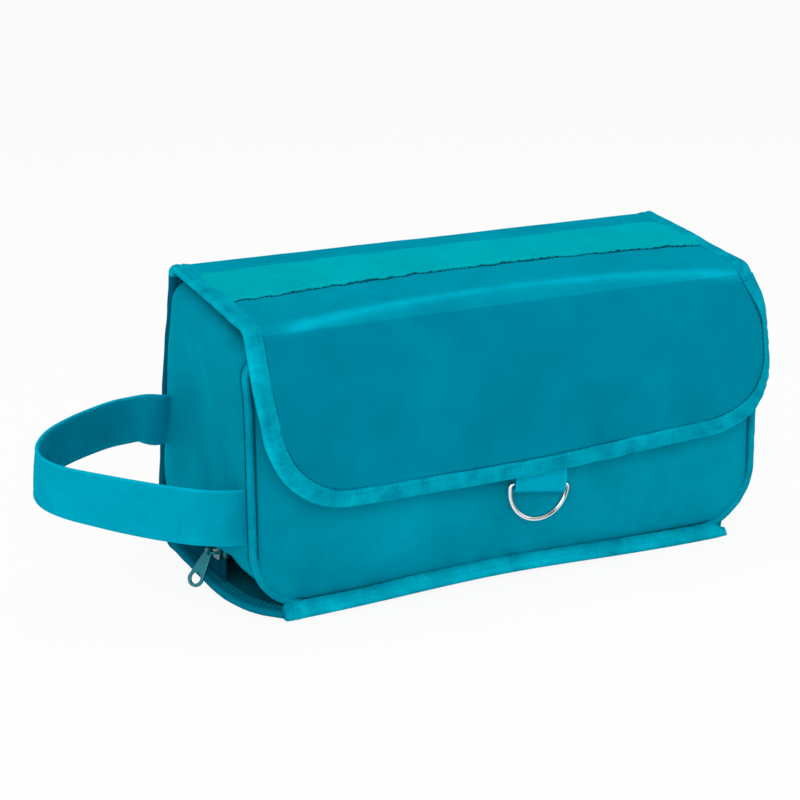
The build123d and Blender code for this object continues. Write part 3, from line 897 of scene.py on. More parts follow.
def box_rows():
    """Left half of the loft: the front and rear ends of its rows, as points (x, y, z)."""
    rear, out = mouth_line()
    at = distances(rear)
    high = FRONT_HIGH - PIPING - FRONT_TOP_BEND
    front_z = np.interp(at / at[-1], [0, 0.2, 0.42, 0.6, 1.0], [5.0, 15.0, 28.0, 45.0, high])
    front = np.stack([-front_half(front_z, PIPING), seam_y(front_z) + 1.0, front_z], 1)
    corner_at = at[np.argmin(np.hypot(rear[:, 0] - MOUTH_CENTRE[0], rear[:, 1] - MOUTH_Z))]
    cover = soft_step(at, corner_at - 16, corner_at + 12)
    rear_x = -side_half(rear[:, 1]) - HOOD_SWELL * cover
    back = np.concatenate([rear_x[:, None], rear + out * (cover * ZIP_COVER)[:, None]], 1)
    turn = np.radians(np.linspace(0, 90, 9)[1:])
    middle = np.linspace(1, 0, 26)[1:]
    near_bend = FRONT_TOP_BEND - PIPING
    near_flat = FRONT_HALF - FRONT_TOP_BEND
    near_x = np.concatenate([-near_flat - near_bend * np.cos(turn), -near_flat * middle])
    near_z = FRONT_HIGH - PIPING - near_bend * np.concatenate([1 - np.sin(turn), 0 * middle])
    near = np.stack([near_x, seam_y(near_z) + 1.0, near_z], 1)
    far_flat = BOX_HALF - HOOD_BEND
    far_x = np.concatenate([-far_flat - HOOD_BEND * np.cos(turn), -far_flat * middle])
    below = HOOD_BEND * np.concatenate([1 - np.sin(turn), 0 * middle])
    base = BOX_TOP - TOP_RISE * BOX_FRONT - below
    slant = math.tan(LEAN)
    far_y = (REAR[0] + slant * REAR[1] - slant * base) / (1 + slant * TOP_RISE)
    far = np.stack([far_x, far_y, base + TOP_RISE * far_y], 1)
    hood = soft_step(-far_x, 84.0, 112.0)
    far[:, 1:] += (hood * ZIP_COVER)[:, None] * OUT
    far[:, 0] -= HOOD_SWELL * hood * soft_step(-far_x, BOX_HALF - HOOD_BEND, BOX_HALF)
    return np.concatenate([front, near]), np.concatenate([back, far])


def box_grid(columns=44):
    """Outer grid of the box's sides and top, with soft bulges and creases."""
    front, back = box_rows()
    share = np.linspace(0, 1, columns)
    share = (share - 0.045 * np.sin(2 * math.pi * share))[None, :, None]
    left = front[:, None] * (1 - share) + back[:, None] * share
    grid = np.concatenate([left, left[-2::-1] * MIRROR])
    normals = grid_normals(grid)
    if (normals[:, :, 0] * np.sign(grid[:, :, 0])).sum() < 0:
        normals = -normals
    x, y, z = grid[..., 0], grid[..., 1], grid[..., 2]
    length = np.linalg.norm(grid[:, -1] - grid[:, 0], axis=1)[:, None]
    fore, aft = length * share[..., 0], length * (1 - share[..., 0])
    on_side = soft_step(np.abs(x), 112, 122)
    ends = (1 - np.exp(-fore / 7.0)) * (1 - np.exp(-aft / 2.6))
    seeds = [(61, 62), (66, 67)]
    creases = [0.22 * ripple(y + 0.2 * z, z, a, 34, 95) + 0.5 * ripple(y, z, b, 75, 80) for a, b in seeds]
    creases = np.where(x < 0, creases[0], creases[1])
    upright = soft_step(z, 4, 40)
    bulge = on_side * ends * (2.6 * upright + 0.8 * creases)
    bulge = bulge + (1 - on_side) * ends * (-1.0 + 0.4 * ripple(x, y, 64, 60, 40))
    uv = np.stack([np.repeat(distances(grid[:, 0])[:, None], columns, 1), y], -1)
    # Mark for the cloth: painted shade along the side's front seam, and a slightly lighter rear edge.
    edge = 0.15 * np.exp(-aft / 2.0) - 1.0 * np.exp(-((fore / 2.3) ** 2)) * on_side
    grid = grid + normals * bulge[..., None]
    grid[..., 2] += 2.4 * ends * soft_step(z - 0.13 * y, 100, 122)
    return grid, normals, uv, edge


# edge holds the painted shade along the side's front seam.
grid, outward, uv, edge = box_grid()
box_shell = shell("box_sides_and_top", grid, 1.1, [SATIN, LINING], outward, uv, edge)


# The front of the box
def rounded_half(inset):
    """Half outline of the box's front from its low middle edge to its top, as (half width, z)."""
    half = FRONT_HALF - inset
    low = FRONT_LOW + inset
    high = FRONT_HIGH - inset
    low_bend, top_bend = FRONT_LOW_BEND - inset, FRONT_TOP_BEND - inset
    low_arc, _ = arc((half - low_bend, low + low_bend), low_bend, -90, 0, 22)
    top_arc, _ = arc((half - top_bend, high - top_bend), top_bend, 0, 90, 10)
    straight = np.linspace(low_arc[-1], top_arc[0], 30)[1:-1]
    return np.concatenate([low_arc, straight, top_arc])


def seam_distance(x, z):
    """Distance from a point of the front to its seam."""
    round_by = 20.0
    reach_x = np.abs(x) - (FRONT_HALF - PIPING - round_by)
    centre, tall = (FRONT_HIGH + FRONT_LOW) / 2, (FRONT_HIGH - FRONT_LOW) / 2 - PIPING
    reach_z = np.abs(z - centre) - (tall - round_by)
    outside = np.hypot(np.maximum(reach_x, 0), np.maximum(reach_z, 0))
    return round_by - outside - np.minimum(np.maximum(reach_x, reach_z), 0)


def front_depth(x, z):
    """How far the front stands forwards of y = 0: its seam, and the swell between."""
    depth = np.maximum(seam_distance(x, z), 0)
    belly = 2.3 + 2.3 * np.exp(-(((z - 34) / 28) ** 2))
    waves = 0.35 * ripple(x, z, 71, 85, 50) + 0.12 * ripple(x, z, 72, 28, 22)
    strain = 0.35 * np.exp(-depth / 12) * ripple(x, z, 73, 18, 18) * soft_step(depth, 1.0, 6)
    dip = 1.1 * np.exp(-depth / 1.5)
    return (1 - np.exp(-depth / 9.0)) * (belly + waves) + strain - seam_y(z) - 0.7 - dip


def front_grid(columns=110):
    """Outer grid of the box's front."""
    edge = rounded_half(PIPING + 1.0)
    across = np.linspace(-1, 1, columns)
    fine = np.linspace(0.94, 1, 14)
    across = np.concatenate([-fine[::-1], across[np.abs(across) < 0.935], fine])
    x = edge[:, :1] * across[None]
    z = np.repeat(edge[:, 1:], len(across), 1)
    # Painted shade along the seam: the cloth darkens where the piping's shadow falls.
    crease = -1.1 * np.exp(-(((seam_distance(x, z) - 0.9) / 1.5) ** 2))
    return np.stack([x, -front_depth(x, z), z], -1), np.stack([x, z], -1), crease


# crease is the painted shade along the front's seam.
grid, uv, crease = front_grid()
front_panel = shell("front_panel", grid, 1.2, [SATIN, LINING], FORWARD, uv, crease)


def piping_path(inset, back=0.0):
    """Closed path round the box's front, on its seam."""
    right = respace(rounded_half(inset), 2.3)
    left = right[::-1] * np.array([-1.0, 1.0])
    low = np.linspace(left[-1], right[0], 84)[1:-1]
    high = np.linspace(right[-1], left[0], 96)[1:-1]
    flat = np.concatenate([right, high, left, low])
    return np.stack([flat[:, 0], seam_y(flat[:, 1]) + back, flat[:, 1]], 1)


def loop_frame(path):
    """Inward directions of a closed path in its upright plane."""
    ahead = unit(np.roll(path, -1, 0) - np.roll(path, 1, 0))
    return unit(np.cross(ahead, REARWARD))


def front_edging():
    """Piping with a dark flange that paints the shade behind it, and dark beads that paint the shadows on
    both sides of it.
    """
    path = piping_path(PIPING)
    side, at = loop_frame(path), distances(path)
    section = ring_section(1.0, 16)[None] * (PIPING + 0.06 * wobble(at, 81, 9))[:, None, None]
    # Flange in dark thread colour behind the cord: painted shade in the seam.
    flange = [(4.2, -2.4), (0.6, -2.0), (0.6, -1.0), (4.2, -1.5)]
    cord = sweep("front_piping_cord", path, side, FORWARD, section, CORD_TAPE, loop=True)
    strip = sweep("front_piping_flange", path, side, FORWARD, flange, DARK_THREAD, loop=True)
    # Rows of dark beads on both sides of the cord: painted shadow.
    front, rear = piping_path(PIPING * 2 + 0.7), piping_path(PIPING - 0.9, 3.0)
    creases = [(front, np.broadcast_to(FORWARD, front.shape)), (rear, -loop_frame(rear))]
    creases = [tuple(np.concatenate([part, part[:1]]) for part in crease) for crease in creases]
    shadows = beads("piping_seam_shadow", creases, 2.0, (2.5, 0.8, 0.6), LINING)
    return joined("front_piping_tape", [cord, strip]), shadows


piping, piping_seam_shade = front_edging()

# Binding along the front foot, with its folded ends
FOOT = np.array(
    [
        (-55.2, 0.15), (-57.6, 0.0), (-59.9, 0.1), (-60.8, 0.7), (-60.9, 1.5), (-60.2, 2.7), (-59.4, 4.0),
        (-58.3, 5.3), (-57.2, 6.3), (-56.2, 6.8), (-55.2, 6.5), (-54.4, 3.4),
    ]
)
FOOT_LEFT, FOOT_RIGHT = -110.5, 113.5


def foot_binding():
    """Folded tape that joins the bottom to the front, with a cap on the left and a tip on the right."""
    x = np.linspace(FOOT_LEFT, FOOT_RIGHT, 150)
    fine, broad = wobble(x, 91, 8), wobble(x, 92, 60)
    section = np.repeat(FOOT[None], len(x), 0)
    face = soft_step(-FOOT[:, 0], 56.0, 60.0) * soft_step(FOOT[:, 1], 0.3, 3.0)
    section[..., 0] -= (0.10 * fine + 0.22 * broad)[:, None] * face
    section[..., 1] += (0.07 * fine + 0.20 * broad)[:, None] * soft_step(FOOT[:, 1], 2.0, 6.0)
    pinch = 1 - 0.45 * soft_step(x, FOOT_RIGHT - 7, FOOT_RIGHT)
    middle = FOOT.mean(0) * np.array([1.0, 0.0])
    section = (section - middle) * pinch[:, None, None] + middle
    lifted = np.maximum(foot_lift(x), 0)
    path = np.stack([x, x * 0, lifted], 1)
    body = sweep("foot_body", path, REARWARD, UPWARD, section, TAPE, rim=np.tile(face, len(x)))
    cap_x = np.linspace(FOOT_LEFT - 4.0, FOOT_LEFT + 3.0, 14)
    grow = 1.10 + 0.06 * wobble(cap_x, 93, 3.0) - 0.25 * soft_step(-cap_x, 112.0, 114.5)
    cap = (FOOT[None] - middle) * grow[:, None, None] + middle
    cap[..., 1] = np.maximum(cap[..., 1], 0.0)
    folded = sweep("foot_cap", cap_x[:, None] * RIGHTWARD, REARWARD, UPWARD, cap, TAPE)
    row = np.stack([x[6:-8], section[6:-8, 6, 0] - 0.12, section[6:-8, 6, 1] + lifted[6:-8]], 1)
    return joined("front_foot_binding", [body, folded]), row


foot, foot_row = foot_binding()


# The zip: a tape and coil on the box, and a mating coil and wall on the cover
def zip_rim():
    """Rim of the mouth from the left lower end over the top to the right lower end.

    Gives points, directions out of the rim and directions across the tape.
    """
    flat = BOX_HALF - TOP_BEND
    lower = np.stack([np.linspace(-12.0, MOUTH_CENTRE[0], 18), np.full(18, MOUTH_Z)], 1)
    curve, curve_out = arc(MOUTH_CENTRE, MOUTH_BEND, -90, LEAN_DEG, 15)
    straight = REAR + np.linspace(MOUTH_END, RIM_LENGTH - TOP_BEND, 34)[1:, None] * UP
    upright = np.insert(np.concatenate([lower, curve[1:], straight]), 0, -ZIP_X, axis=1)
    turn = np.radians(np.linspace(0, 90, 9))[1:]
    bend = ZIP_X - flat
    corner = REAR + (RIM_LENGTH - TOP_BEND + bend * np.sin(turn))[:, None] * UP
    corner = np.concatenate([(-flat - bend * np.cos(turn))[:, None], corner], 1)
    across = np.repeat(corner[-1:], 44, 0)
    across[:, 0] = np.linspace(-flat, 0, 45)[1:]
    left = np.concatenate([upright, corner, across])
    out = np.zeros(left.shape)
    out[:, 1:] = OUT
    out[:18, 1:] = (0.0, -1.0)
    out[18:32, 1:] = curve_out[1:]
    points, out = (np.concatenate([half, half[-2::-1] * MIRROR]) for half in (left, out))
    return np.stack([points, out, unit(np.cross(out, unit(np.gradient(points, axis=0))))])


RIM = zip_rim()
SPLIT_Z = 42.3
COIL_OUT, MATE_OUT, WALL_OUT = 4.1, 7.5, 7.4


def rim_strip(name, low, high, thick, keep):
    """Flat strip between two distances out of the rim, over the kept stretch of it."""
    points, out, face = RIM[:, keep]
    section = np.zeros((len(points), 4, 2))
    section[:, 0, 0] = section[:, 3, 0] = low
    section[:, 1, 0] = section[:, 2, 0] = high
    section[:, :2, 1], section[:, 2:, 1] = -thick / 2, thick / 2
    return sweep(name, points, out, face, section, ZIP_CLOTH, sharp=30)


def coil(name, middle, keep):
    """Row of coil teeth at one distance out of the rim, on a thin core."""
    points, out, face = RIM[:, keep]
    line = points + out * middle
    rod = sweep(name + "_core", line, out, face, ring_section(0.45, 6), COIL)
    return joined(name, [rod, beads(name + "_teeth", [(line, face)], 1.25, (0.85, 2.1, 2.2), COIL)])


def wall_reach(keep):
    """Distance from the rim to just inside the cover's cloth, along each direction out of it."""
    points, out, _ = RIM[:, keep]
    inner = REAR_RADIUS - COVER
    start, way = points[:, 1:] - REAR, out[:, 1:]
    to_floor = np.where(way[:, 1] < -0.05, (points[:, 2] - COVER) / np.maximum(-way[:, 1], 0.05), 99.0)
    to_back = np.where(way @ OUT > 0.05, (inner - start @ OUT) / np.maximum(way @ OUT, 0.05), 99.0)
    straight = np.minimum(to_floor, to_back)
    hit = start + way * straight[:, None]
    along = (start * way).sum(1)
    bend = -along + np.sqrt(np.maximum(along**2 - (start**2).sum(1) + inner**2, 0))
    in_bend = (hit[:, 0] > 0) & (hit @ UP < 0)
    return np.maximum(np.where(in_bend, np.minimum(straight, bend), straight) + 0.3, 7.8)


everywhere = slice(None)
mate_z = RIM[0, :, 2] + RIM[1, :, 2] * MATE_OUT
low_ends = {
    "left": np.flatnonzero((mate_z < SPLIT_Z) & (RIM[0, :, 0] < 0)),
    "right": np.flatnonzero((mate_z < SPLIT_Z) & (RIM[0, :, 0] > 0)),
}
upper = np.flatnonzero(mate_z >= SPLIT_Z - 0.4)
zip_tape = rim_strip("zip_tape_cloth", -2.5, 3.6, 0.7, everywhere)
box_coil = coil("box_zip_coil", COIL_OUT, everywhere)
low_coil = joined("low_zip_coil", [coil(f"low_coil_{k}", MATE_OUT, keep) for k, keep in low_ends.items()])
back_coil = coil("upper_zip_coil", MATE_OUT, upper)
low_walls = joined(
    "low_zip_walls",
    [rim_strip(f"low_wall_{k}", WALL_OUT, wall_reach(keep), 0.8, keep) for k, keep in low_ends.items()],
)
back_walls = rim_strip("back_zip_walls_cloth", WALL_OUT, 13.5, 0.8, upper)


def stop(hand):
    """End stop of the zip."""
    points = np.array([[hand * ZIP_X, y, 17.2] for y in (-14.3, -13.9, -12.5, -12.1)])
    size = np.array([0.8, 1.0, 1.0, 0.8])
    turn = np.linspace(0, 2 * math.pi, 12, endpoint=False)
    section = np.stack([2.6 * np.cos(turn), 1.5 * np.sin(turn)], 1)[None] * size[:, None, None]
    return sweep(f"stop_{hand}", points, UPWARD, RIGHTWARD, section, ENAMEL, sharp=50)


stops = joined("zip_end_stops", [stop(-1), stop(1)])

# The wrist strap: a band of doubled cloth in a tilted plane
STRAP_START = np.array([-127.0, -47.0, 45.0])
STRAP_TILT = math.radians(17.0)
STRAP_RUN = np.array([0.0, math.cos(STRAP_TILT), math.sin(STRAP_TILT)])
STRAP_HALF = 12.5
STRAP_ROUTE = [
    (0.5, -3.5), (-5.0, -2.6), (-13.0, -0.8), (-24.0, 3.8), (-38.8, 12.5), (-57.0, 25.5), (-69.0, 37.5),
    (-74.5, 49.0), (-73.0, 59.5), (-65.0, 69.0), (-53.0, 76.0), (-41.2, 80.8), (-30.0, 84.2), (-20.0, 85.3),
    (-10.0, 86.6), (0.5, 93.0),
]
# Places across the strap and half its thickness there
STRAP_ACROSS = [(-12.5, 0.1), (-12.3, 0.55), (-11.6, 0.85), (-10.4, 0.72), (-7.0, 0.95), (-3.0, 1.05)]


def strap_band():
    """Strap with slightly crowned faces and soft edges, and the paths of its stitches."""
    flat = smooth_line(STRAP_ROUTE, 1.8)
    path = STRAP_START + flat[:, :1] * RIGHTWARD + flat[:, 1:] * STRAP_RUN
    at = distances(path)
    path[:, 2] += 2.6 * (1 - soft_step(at, 60, 105)) - 6.5 * soft_step(at, at[-1] - 19, at[-1])
    ahead = unit(np.gradient(path, axis=0))
    twist = STRAP_TILT * soft_step(at, 35, 110)
    width = np.stack([at * 0, -np.sin(twist), np.cos(twist)], 1)
    width = unit(width - (width * ahead).sum(1)[:, None] * ahead)
    inward = unit(np.cross(ahead, width))
    face = np.array(STRAP_ACROSS + [(-b, n) for b, n in STRAP_ACROSS[::-1]])
    section = np.repeat(np.concatenate([face, face[::-1] * (1, -1)])[None], len(path), 0)
    section[..., 1] += 0.10 * wobble(at, 101, 16)[:, None] * (1 - np.abs(section[..., 0]) / STRAP_HALF)
    rim = np.repeat(soft_step(np.abs(section[0, :, 0]), 11.5, 12.5)[None], len(path), 0)
    # Painted shade: the inner face is darker, most over the turn, and the outer face darkens near its front
    # end like the seam's shadow.
    shade = soft_step(at, 105, 125) * (1 - soft_step(at, 155, 172))
    rim[:, 1:11] -= 0.20 + 0.28 * shade[:, None]
    rim[:, 13:23] -= 0.22 * (1 - soft_step(at, 4, 16))[:, None]
    band = sweep("wrist_strap_band", path, width, inward, section, WEBBING, sharp=50, rim=rim.ravel())
    places = [(face, edge) for face in (-1, 1) for edge in (-10.4, 10.4)]
    rows = [(path + width * edge + inward * face * 0.74, inward) for face, edge in places]
    return band, beads("wrist_strap_stitches", rows, STITCH_PITCH, STITCH, THREAD)


strap, strap_stitches = strap_band()

# The ring's tab and the ring
RING = np.array([6.1, -65.8, 43.5])
RING_TURN = math.radians(-8.5)
TAB_HALF = 12.9


def turned_level(points, share=1.0):
    """Turns points in the plane of the front about the ring's middle, as the ring hangs."""
    turn = RING_TURN * share
    x, z = points[..., 0] - RING[0], points[..., 2] - RING[2]
    out = points.copy()
    out[..., 0] = RING[0] + np.cos(turn) * x - np.sin(turn) * z
    out[..., 2] = RING[2] + np.sin(turn) * x + np.cos(turn) * z
    return out


def ring_tab():
    """Doubled webbing that comes from under the flap's edge and turns round the ring's bar."""
    turn = np.radians(np.linspace(180, 360, 13))
    loop = np.stack([2.35 * np.cos(turn) * 0.85, 2.35 * np.sin(turn)], 1)
    front = np.array([(-0.9, 19.0), (-1.25, 13.0), (-1.6, 7.0), (-1.95, 2.5)])
    rear = np.array([(1.95, 2.5), (1.4, 7.0), (1.0, 13.0), (0.7, 19.0)])
    line = smooth_line(np.concatenate([front, loop, rear]), 0.9)
    x = np.linspace(-TAB_HALF, TAB_HALF, 44)
    wave = 0.15 * ripple(x[None], line[:, 1:], 111, 3.4, 40)
    grid = np.zeros((len(line), len(x), 3))
    grid[..., 0] = RING[0] + x[None] * (1 + 0.012 * np.sin(line[:, 1:] * 0.5))
    grid[..., 1] = RING[1] + line[:, :1] + wave * np.sign(line[:, :1])
    grid[..., 2] = RING[2] + line[:, 1:]
    grid = turned_level(grid, soft_step(-grid[..., 2], -RING[2] - 15, -RING[2] - 3))
    toward = np.zeros(grid.shape)
    toward[..., 1] = np.sign(line[:, :1])
    toward[..., 2] = np.where(line[:, 1:] < 0, -1.0, 0.0)
    uv = np.stack(np.broadcast_arrays(x[None], distances(line)[:, None]), -1)
    wear_and_highlight = soft_step(np.abs(uv[..., 0]), 11.5, 12.8)
    return shell("ring_tab_webbing", grid, 0.75, [WEBBING, WEBBING], toward, uv, wear_and_highlight)


tab = ring_tab()


def ring_wire():
    """Half-round ring: a bow and a straight bar with tight round corners."""
    radius, wire = 14.7, 1.1
    bow, _ = arc((0, 0), radius, 180, 360, 44)
    ends = np.array([(-radius + 0.9, 1.25), (-radius + 0.15, 0.75)])
    bar = np.linspace((radius - 2.0, 1.35), (-radius + 2.0, 1.35), 24)
    flat = np.concatenate([ends, bow, ends[::-1] * (-1, 1), bar])
    flat[:, 1] -= 1.35 * soft_step(-np.abs(flat[:, 0]), -radius + 3.0, -radius + 7.0) * (flat[:, 1] > 1.3)
    path = turned_level(RING + flat[:, :1] * RIGHTWARD + flat[:, 1:] * UPWARD)
    side = loop_frame(path)
    section = ring_section(wire, 24)
    outward = np.sign(((path - RING) * side).sum()) * section[:, 0] / wire
    # Painted dark reflection: a dark band along the inner front of the wire, varying along it.
    dark_reflection = np.exp(-(((np.degrees(np.arccos(outward)) - 112) / 24) ** 2))
    lively = 0.75 + 0.35 * wobble(distances(path), 121, 16)
    rim = (lively[:, None] * dark_reflection[None]).ravel()
    return sweep("hang_ring_wire", path, side, FORWARD, section, CHROME, loop=True, sharp=60, rim=rim)


ring = ring_wire()


# Hook-and-loop patches under the flap
def patches():
    """The loop patch on the front and the hook patch on the flap's inner side."""
    x, z = np.meshgrid(np.linspace(-39.5, 39.5, 40), np.linspace(62.5, 81.5, 12))
    front = np.stack([x, -front_depth(x, z) - 0.9, z], -1)
    inner, toward, _ = flap_surface(x, z, COVER + 0.95)
    loop_side = shell("loop_patch_tape", front, 0.9, [HOOKS, HOOKS], FORWARD)
    return loop_side, shell("hook_patch_tape", inner, 0.9, [HOOKS, HOOKS], -toward)


loop_patch, hook_patch = patches()

# Slider and pull
SLIDER = np.array([-ZIP_X, -7.0, 17.2])
BAR_X = -128.55


def flat_plate(name, outlines, thick, bevel):
    """Enamelled plate from outlines of (y, z), the second one a hole, its faces across the bag."""
    curve = bpy.data.curves.new(name, "CURVE")
    curve.dimensions = "2D"
    curve.fill_mode = "BOTH"
    curve.extrude = (thick / 2 - bevel) * MM
    curve.bevel_depth = bevel * MM
    curve.bevel_resolution = 2
    curve.offset = -bevel * MM
    for line in outlines:
        spline = curve.splines.new("POLY")
        spline.points.add(len(line) - 1)
        for point, (a, b) in zip(spline.points, line):
            point.co = (a * MM, b * MM, 0, 1)
        spline.use_cyclic_u = True
    mesh = plain_mesh(add_object(name, curve))
    mesh.transform(Matrix(((0, 0, 1, 0), (1, 0, 0, 0), (0, 1, 0, 0), (0, 0, 0, 1))))
    mesh.materials.clear()
    mesh.materials.append(ENAMEL)
    return add_object(name, mesh)


def shift(made, offset):
    """Moves a piece's mesh by millimetres."""
    made.data.transform(Matrix.Translation(Vector(offset) * MM))
    return made


def rounded_plate(width, height, corner, count=8):
    """Closed outline of a rounded rectangle."""
    parts = []
    for turn, (a, b) in zip((0, 90, 180, 270), ((1, 1), (-1, 1), (-1, -1), (1, -1))):
        centre = (a * (width / 2 - corner), b * (height / 2 - corner))
        parts.append(arc(centre, corner, turn, turn + 90, count)[0])
    return np.concatenate(parts)


def zip_slider():
    """Two plates with a bridge that carries the pull's bar."""
    plates = []
    for x in (-2.05, 2.05):
        plate = flat_plate(f"plate_{x > 0}", [rounded_plate(8.6, 8.2, 2.4)], 1.1, 0.25)
        plates.append(shift(plate, SLIDER + (x, 0, 0)))
    wedge = flat_plate("wedge", [rounded_plate(1.6, 1.4, 0.5)], 4.0, 0.1)
    plates.append(shift(wedge, SLIDER + (0, -3.3, 0)))
    near = [(-125.0, -3.6), (-126.6, -3.4), (-128.0, -2.8), (BAR_X, -1.6)]
    line = smooth_line(near + [(x, -y) for x, y in near[::-1]], 0.5)
    path = np.stack([line[:, 0], SLIDER[1] + line[:, 1], np.full(len(line), SLIDER[2])], 1)
    side = unit(np.cross(UPWARD, unit(np.gradient(path, axis=0))))
    bridge = sweep("bridge", path, side, UPWARD, ring_section(0.7, 10), ENAMEL)
    return joined("zip_slider_body", plates + [bridge])


PULL_LEAN = math.radians(30.0)
PULL_TWIST = math.radians(38.0)


def zip_pull():
    """Pull that widens downwards to a ring with an oval hole and leans away from the bag."""
    lower = arc((0, -13.4), 3.9, -175, -5, 22)[0]
    near = [(-1.5, 0.9), (-1.9, -1.0), (-2.6, -5.0), (-3.2, -9.0)]
    outline = np.concatenate([near, lower, [(-a, b) for a, b in near[::-1]]])
    turn = np.linspace(0, 2 * math.pi, 28, endpoint=False)
    hole = np.stack([2.25 * np.cos(turn), -13.2 + 2.6 * np.sin(turn)], 1)[::-1]
    blade = flat_plate("blade", [outline, hole], 1.3, 0.35)
    blade.data.transform(Matrix.Rotation(PULL_TWIST, 4, "Z"))
    along_y = np.array([-1.5, -1.3, 1.3, 1.5])[:, None] * REARWARD
    size = np.array([0.9, 1.0, 1.0, 0.9])[:, None, None] * ring_section(1.55, 14)[None]
    knuckle = sweep("knuckle", along_y, RIGHTWARD, UPWARD, size, ENAMEL)
    tab = joined("zip_pull_tab", [blade, knuckle])
    tab.data.transform(Matrix.Rotation(PULL_LEAN, 4, "Y"))
    return shift(tab, (BAR_X, SLIDER[1], SLIDER[2]))


slider = zip_slider()
pull = zip_pull()

# Stitches, one mesh for each body and each bend
edge_rows["bottom"].append((foot_row, np.array([0.0, -0.8, 0.6])))
edge_rows["flap"] = flap_stitch_rows
stitches = {}
for label in ("bottom", "back", "top", "flap", "rear_bend", "top_rear_bend", "front_bend"):
    stitches[label] = beads(label + "_stitches", edge_rows[label], STITCH_PITCH, STITCH, THREAD)

# What each piece rides on, which CAD nodes it stands for and whose finish it takes
RIDES = {
    "bag": [
        (cloths["bottom"], "satin_nylon", "bottom_sheet", "bottom_board", "bottom_lining"),
        (edge_tapes["bottom"], "binding_tape", "bottom_edge_tapes"),
        (foot, "binding_tape", "front_binding"),
        (stitches["bottom"], "binding_tape"),
        (box_shell, "satin_nylon", "left_side", "right_side", "box_top"),
        (front_panel, "satin_nylon", "box_front", "front_lining"),
        (piping, "piping", "front_piping"),
        (piping_seam_shade, "piping"),
        (loop_patch, "hook_and_loop", "loop_patch"),
        (zip_tape, "zip_tape", "zip_tape"),
        (box_coil, "zip_coil", "zip_coil"),
        (low_coil, "zip_coil", "bottom_zip_coil"),
        (low_walls, "zip_tape", "bottom_zip_walls"),
        (stops, "zip_metal", "zip_stops"),
    ],
    "back": [
        (cloths["back"], "satin_nylon", "back_sheet", "back_board", "back_lining"),
        (edge_tapes["back"], "binding_tape", "back_edge_tapes"),
        (stitches["back"], "binding_tape"),
        (back_coil, "zip_coil", "back_zip_coil"),
        (back_walls, "zip_tape", "back_zip_walls"),
    ],
    "top": [
        (cloths["top"], "satin_nylon", "top_sheet", "top_board", "top_lining"),
        (edge_tapes["top"], "binding_tape", "top_edge_tapes"),
        (stitches["top"], "binding_tape"),
        (top_band, "top_band", "top_band"),
        (band_stitches, "top_band"),
        (band_rear_stitches, "top_band"),
    ],
    "flap": [
        (flap_cloth, "satin_nylon", "flap_sheet", "flap_foam", "flap_lining"),
        (flap_tape, "binding_tape", "flap_binding"),
        (stitches["flap"], "binding_tape"),
        (flap_seam_shade, "binding_tape"),
        (hook_patch, "hook_and_loop", "hook_patch"),
        (tab, "webbing", "ring_tab"),
    ],
    "ring": [(ring, "ring_chrome", "d_ring")],
    "slider": [(slider, "zip_metal", "zip_slider")],
    "pull": [(pull, "zip_metal", "zip_pull")],
}
for body, pieces in RIDES.items():
    for made, slot, *nodes in pieces:
        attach(made, body)
        if nodes:
            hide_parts(*nodes)


def in_frame(yz):
    """Point of the row frame in metres from (y, z) in millimetres."""
    return (0.0, float(yz[0]) * MM, float(yz[1]) * MM)


def edging(label):
    """Tapes and stitches of one stretch of the cover."""
    return edge_tapes[label], stitches[label]


BEND_INSET = 1.2
BENDS = [
    ("rear_bend", "bag", "back", "rear_fold"),
    ("top_rear_bend", "back", "top", "top_rear_fold"),
    ("front_bend", "top", "flap", "front_fold"),
]
for label, first, second, node in BENDS:
    line = RUNS[label]["line"]
    inset = BEND_INSET * unit(line[-1] - line[0])
    start, end = in_frame(line[0] + inset), in_frame(line[-1] - inset)
    for slot, bent in (("satin_nylon", [cloths[label]]), ("binding_tape", edging(label))):
        for made in bent:
            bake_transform(made)
    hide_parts(node)
for made in (strap, strap_stitches):
    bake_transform(made)
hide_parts("wrist_strap", "strap_ends")

# Camera at the photograph's viewing angle
AZIMUTH, ELEVATION, ROLL = -0.46278, 0.28567, -0.008827
TARGET, RANGE = np.array([-32.07, -5.0, 73.33]), 960.49
flat_way = math.cos(ELEVATION)
back_way = np.array([math.sin(AZIMUTH) * flat_way, -math.cos(AZIMUTH) * flat_way, math.sin(ELEVATION)])
level_way = unit(np.cross(-back_way, UPWARD))
high_way = np.cross(level_way, -back_way)
right_way = math.cos(ROLL) * level_way + math.sin(ROLL) * high_way
up_way = -math.sin(ROLL) * level_way + math.cos(ROLL) * high_way
camera_data = bpy.data.cameras.new("camera")
camera_data.lens = 94.5
camera_data.sensor_width = 36.0
camera_data.clip_start, camera_data.clip_end = 0.01, 100.0
camera = add_object("camera", camera_data)
turned = Matrix([[*row] for row in np.stack([right_way, up_way, back_way], 1)]).to_4x4()
camera.matrix_world = Matrix.Translation(Vector((TARGET + RANGE * back_way) * MM)) @ turned
bpy.context.scene.camera = camera


# Studio: pale floor, soft lamps and a white surround
WHITE = (1.0, 1.0, 1.0, 1.0)
FLOOR_GLOW = 0.92
SURROUND = 0.40
FLOOR_HALF, FLOOR_Z = 6000.0, -0.4


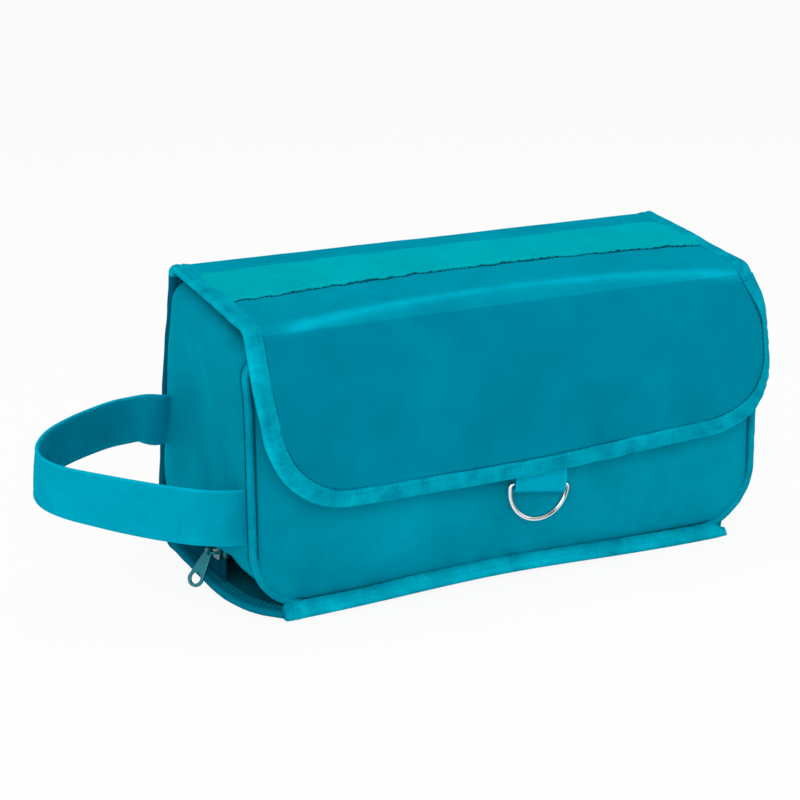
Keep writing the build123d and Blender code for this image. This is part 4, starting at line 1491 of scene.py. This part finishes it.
def seen_directly(finish):
    """1 for rays from the camera, or through glass or a mirror."""
    path = finish.node("ShaderNodeLightPath")
    rays = [Wire(finish, path.outputs[f"Is {kind} Ray"]) for kind in ("Camera", "Glossy", "Transmission")]
    return (rays[0] + rays[1] + rays[2]).clamp()


def make_floor():
    """Large pale floor whose colour meets the white surround and which keeps the bag's shadow."""
    finish = material("pale_floor")
    paint = finish.wire("ShaderNodeBsdfDiffuse", {}, {"Color": (0.9, 0.9, 0.9, 1.0)})
    glow = finish.wire("ShaderNodeEmission", {}, {"Color": WHITE, "Strength": 1.0})
    share = seen_directly(finish) * FLOOR_GLOW
    mixed = finish.wire("ShaderNodeMixShader", {}, {0: share, 1: paint, 2: glow})
    finish.node("ShaderNodeOutputMaterial", {}, {"Surface": mixed})
    corners = [(a * FLOOR_HALF, b * FLOOR_HALF, FLOOR_Z) for a, b in ((-1, -1), (1, -1), (1, 1), (-1, 1))]
    make_piece("floor", np.array(corners), [[0, 1, 2, 3]], [finish.owner], closed=False)


def make_world():
    """Soft surround light, plain white where it is seen directly."""
    world = bpy.data.worlds.new("surround")
    bpy.context.scene.world = world
    finish = Finish(world)
    strength = SURROUND + seen_directly(finish) * (1 - SURROUND)
    finish.close("ShaderNodeBackground", "ShaderNodeOutputWorld", Color=WHITE, Strength=strength)


def lamp(name, place, aim, size, power):
    """Square area lamp that faces a point."""
    data = bpy.data.lights.new(name, "AREA")
    data.shape = "SQUARE"
    data.size = size
    data.energy = power
    made = add_object(name, data)
    made.rotation_euler = (Vector(aim) - Vector(place)).to_track_quat("-Z", "Y").to_euler()
    made.location = place


make_floor()
make_world()
lamp("key", (-0.75, -1.35, 0.75), (0.0, 0.0, 0.07), 0.9, 13.0)
lamp("overhead", (0.1, 0.15, 1.3), (0.0, 0.0, 0.05), 1.0, 5.0)
lamp("side", (-1.5, 0.0, 0.45), (-0.1, 0.0, 0.07), 0.8, 2.6)
lamp("fill", (1.3, -0.9, 0.6), (0.0, 0.0, 0.07), 1.0, 5.0)

bpy.context.scene.view_settings.view_transform = "Standard"
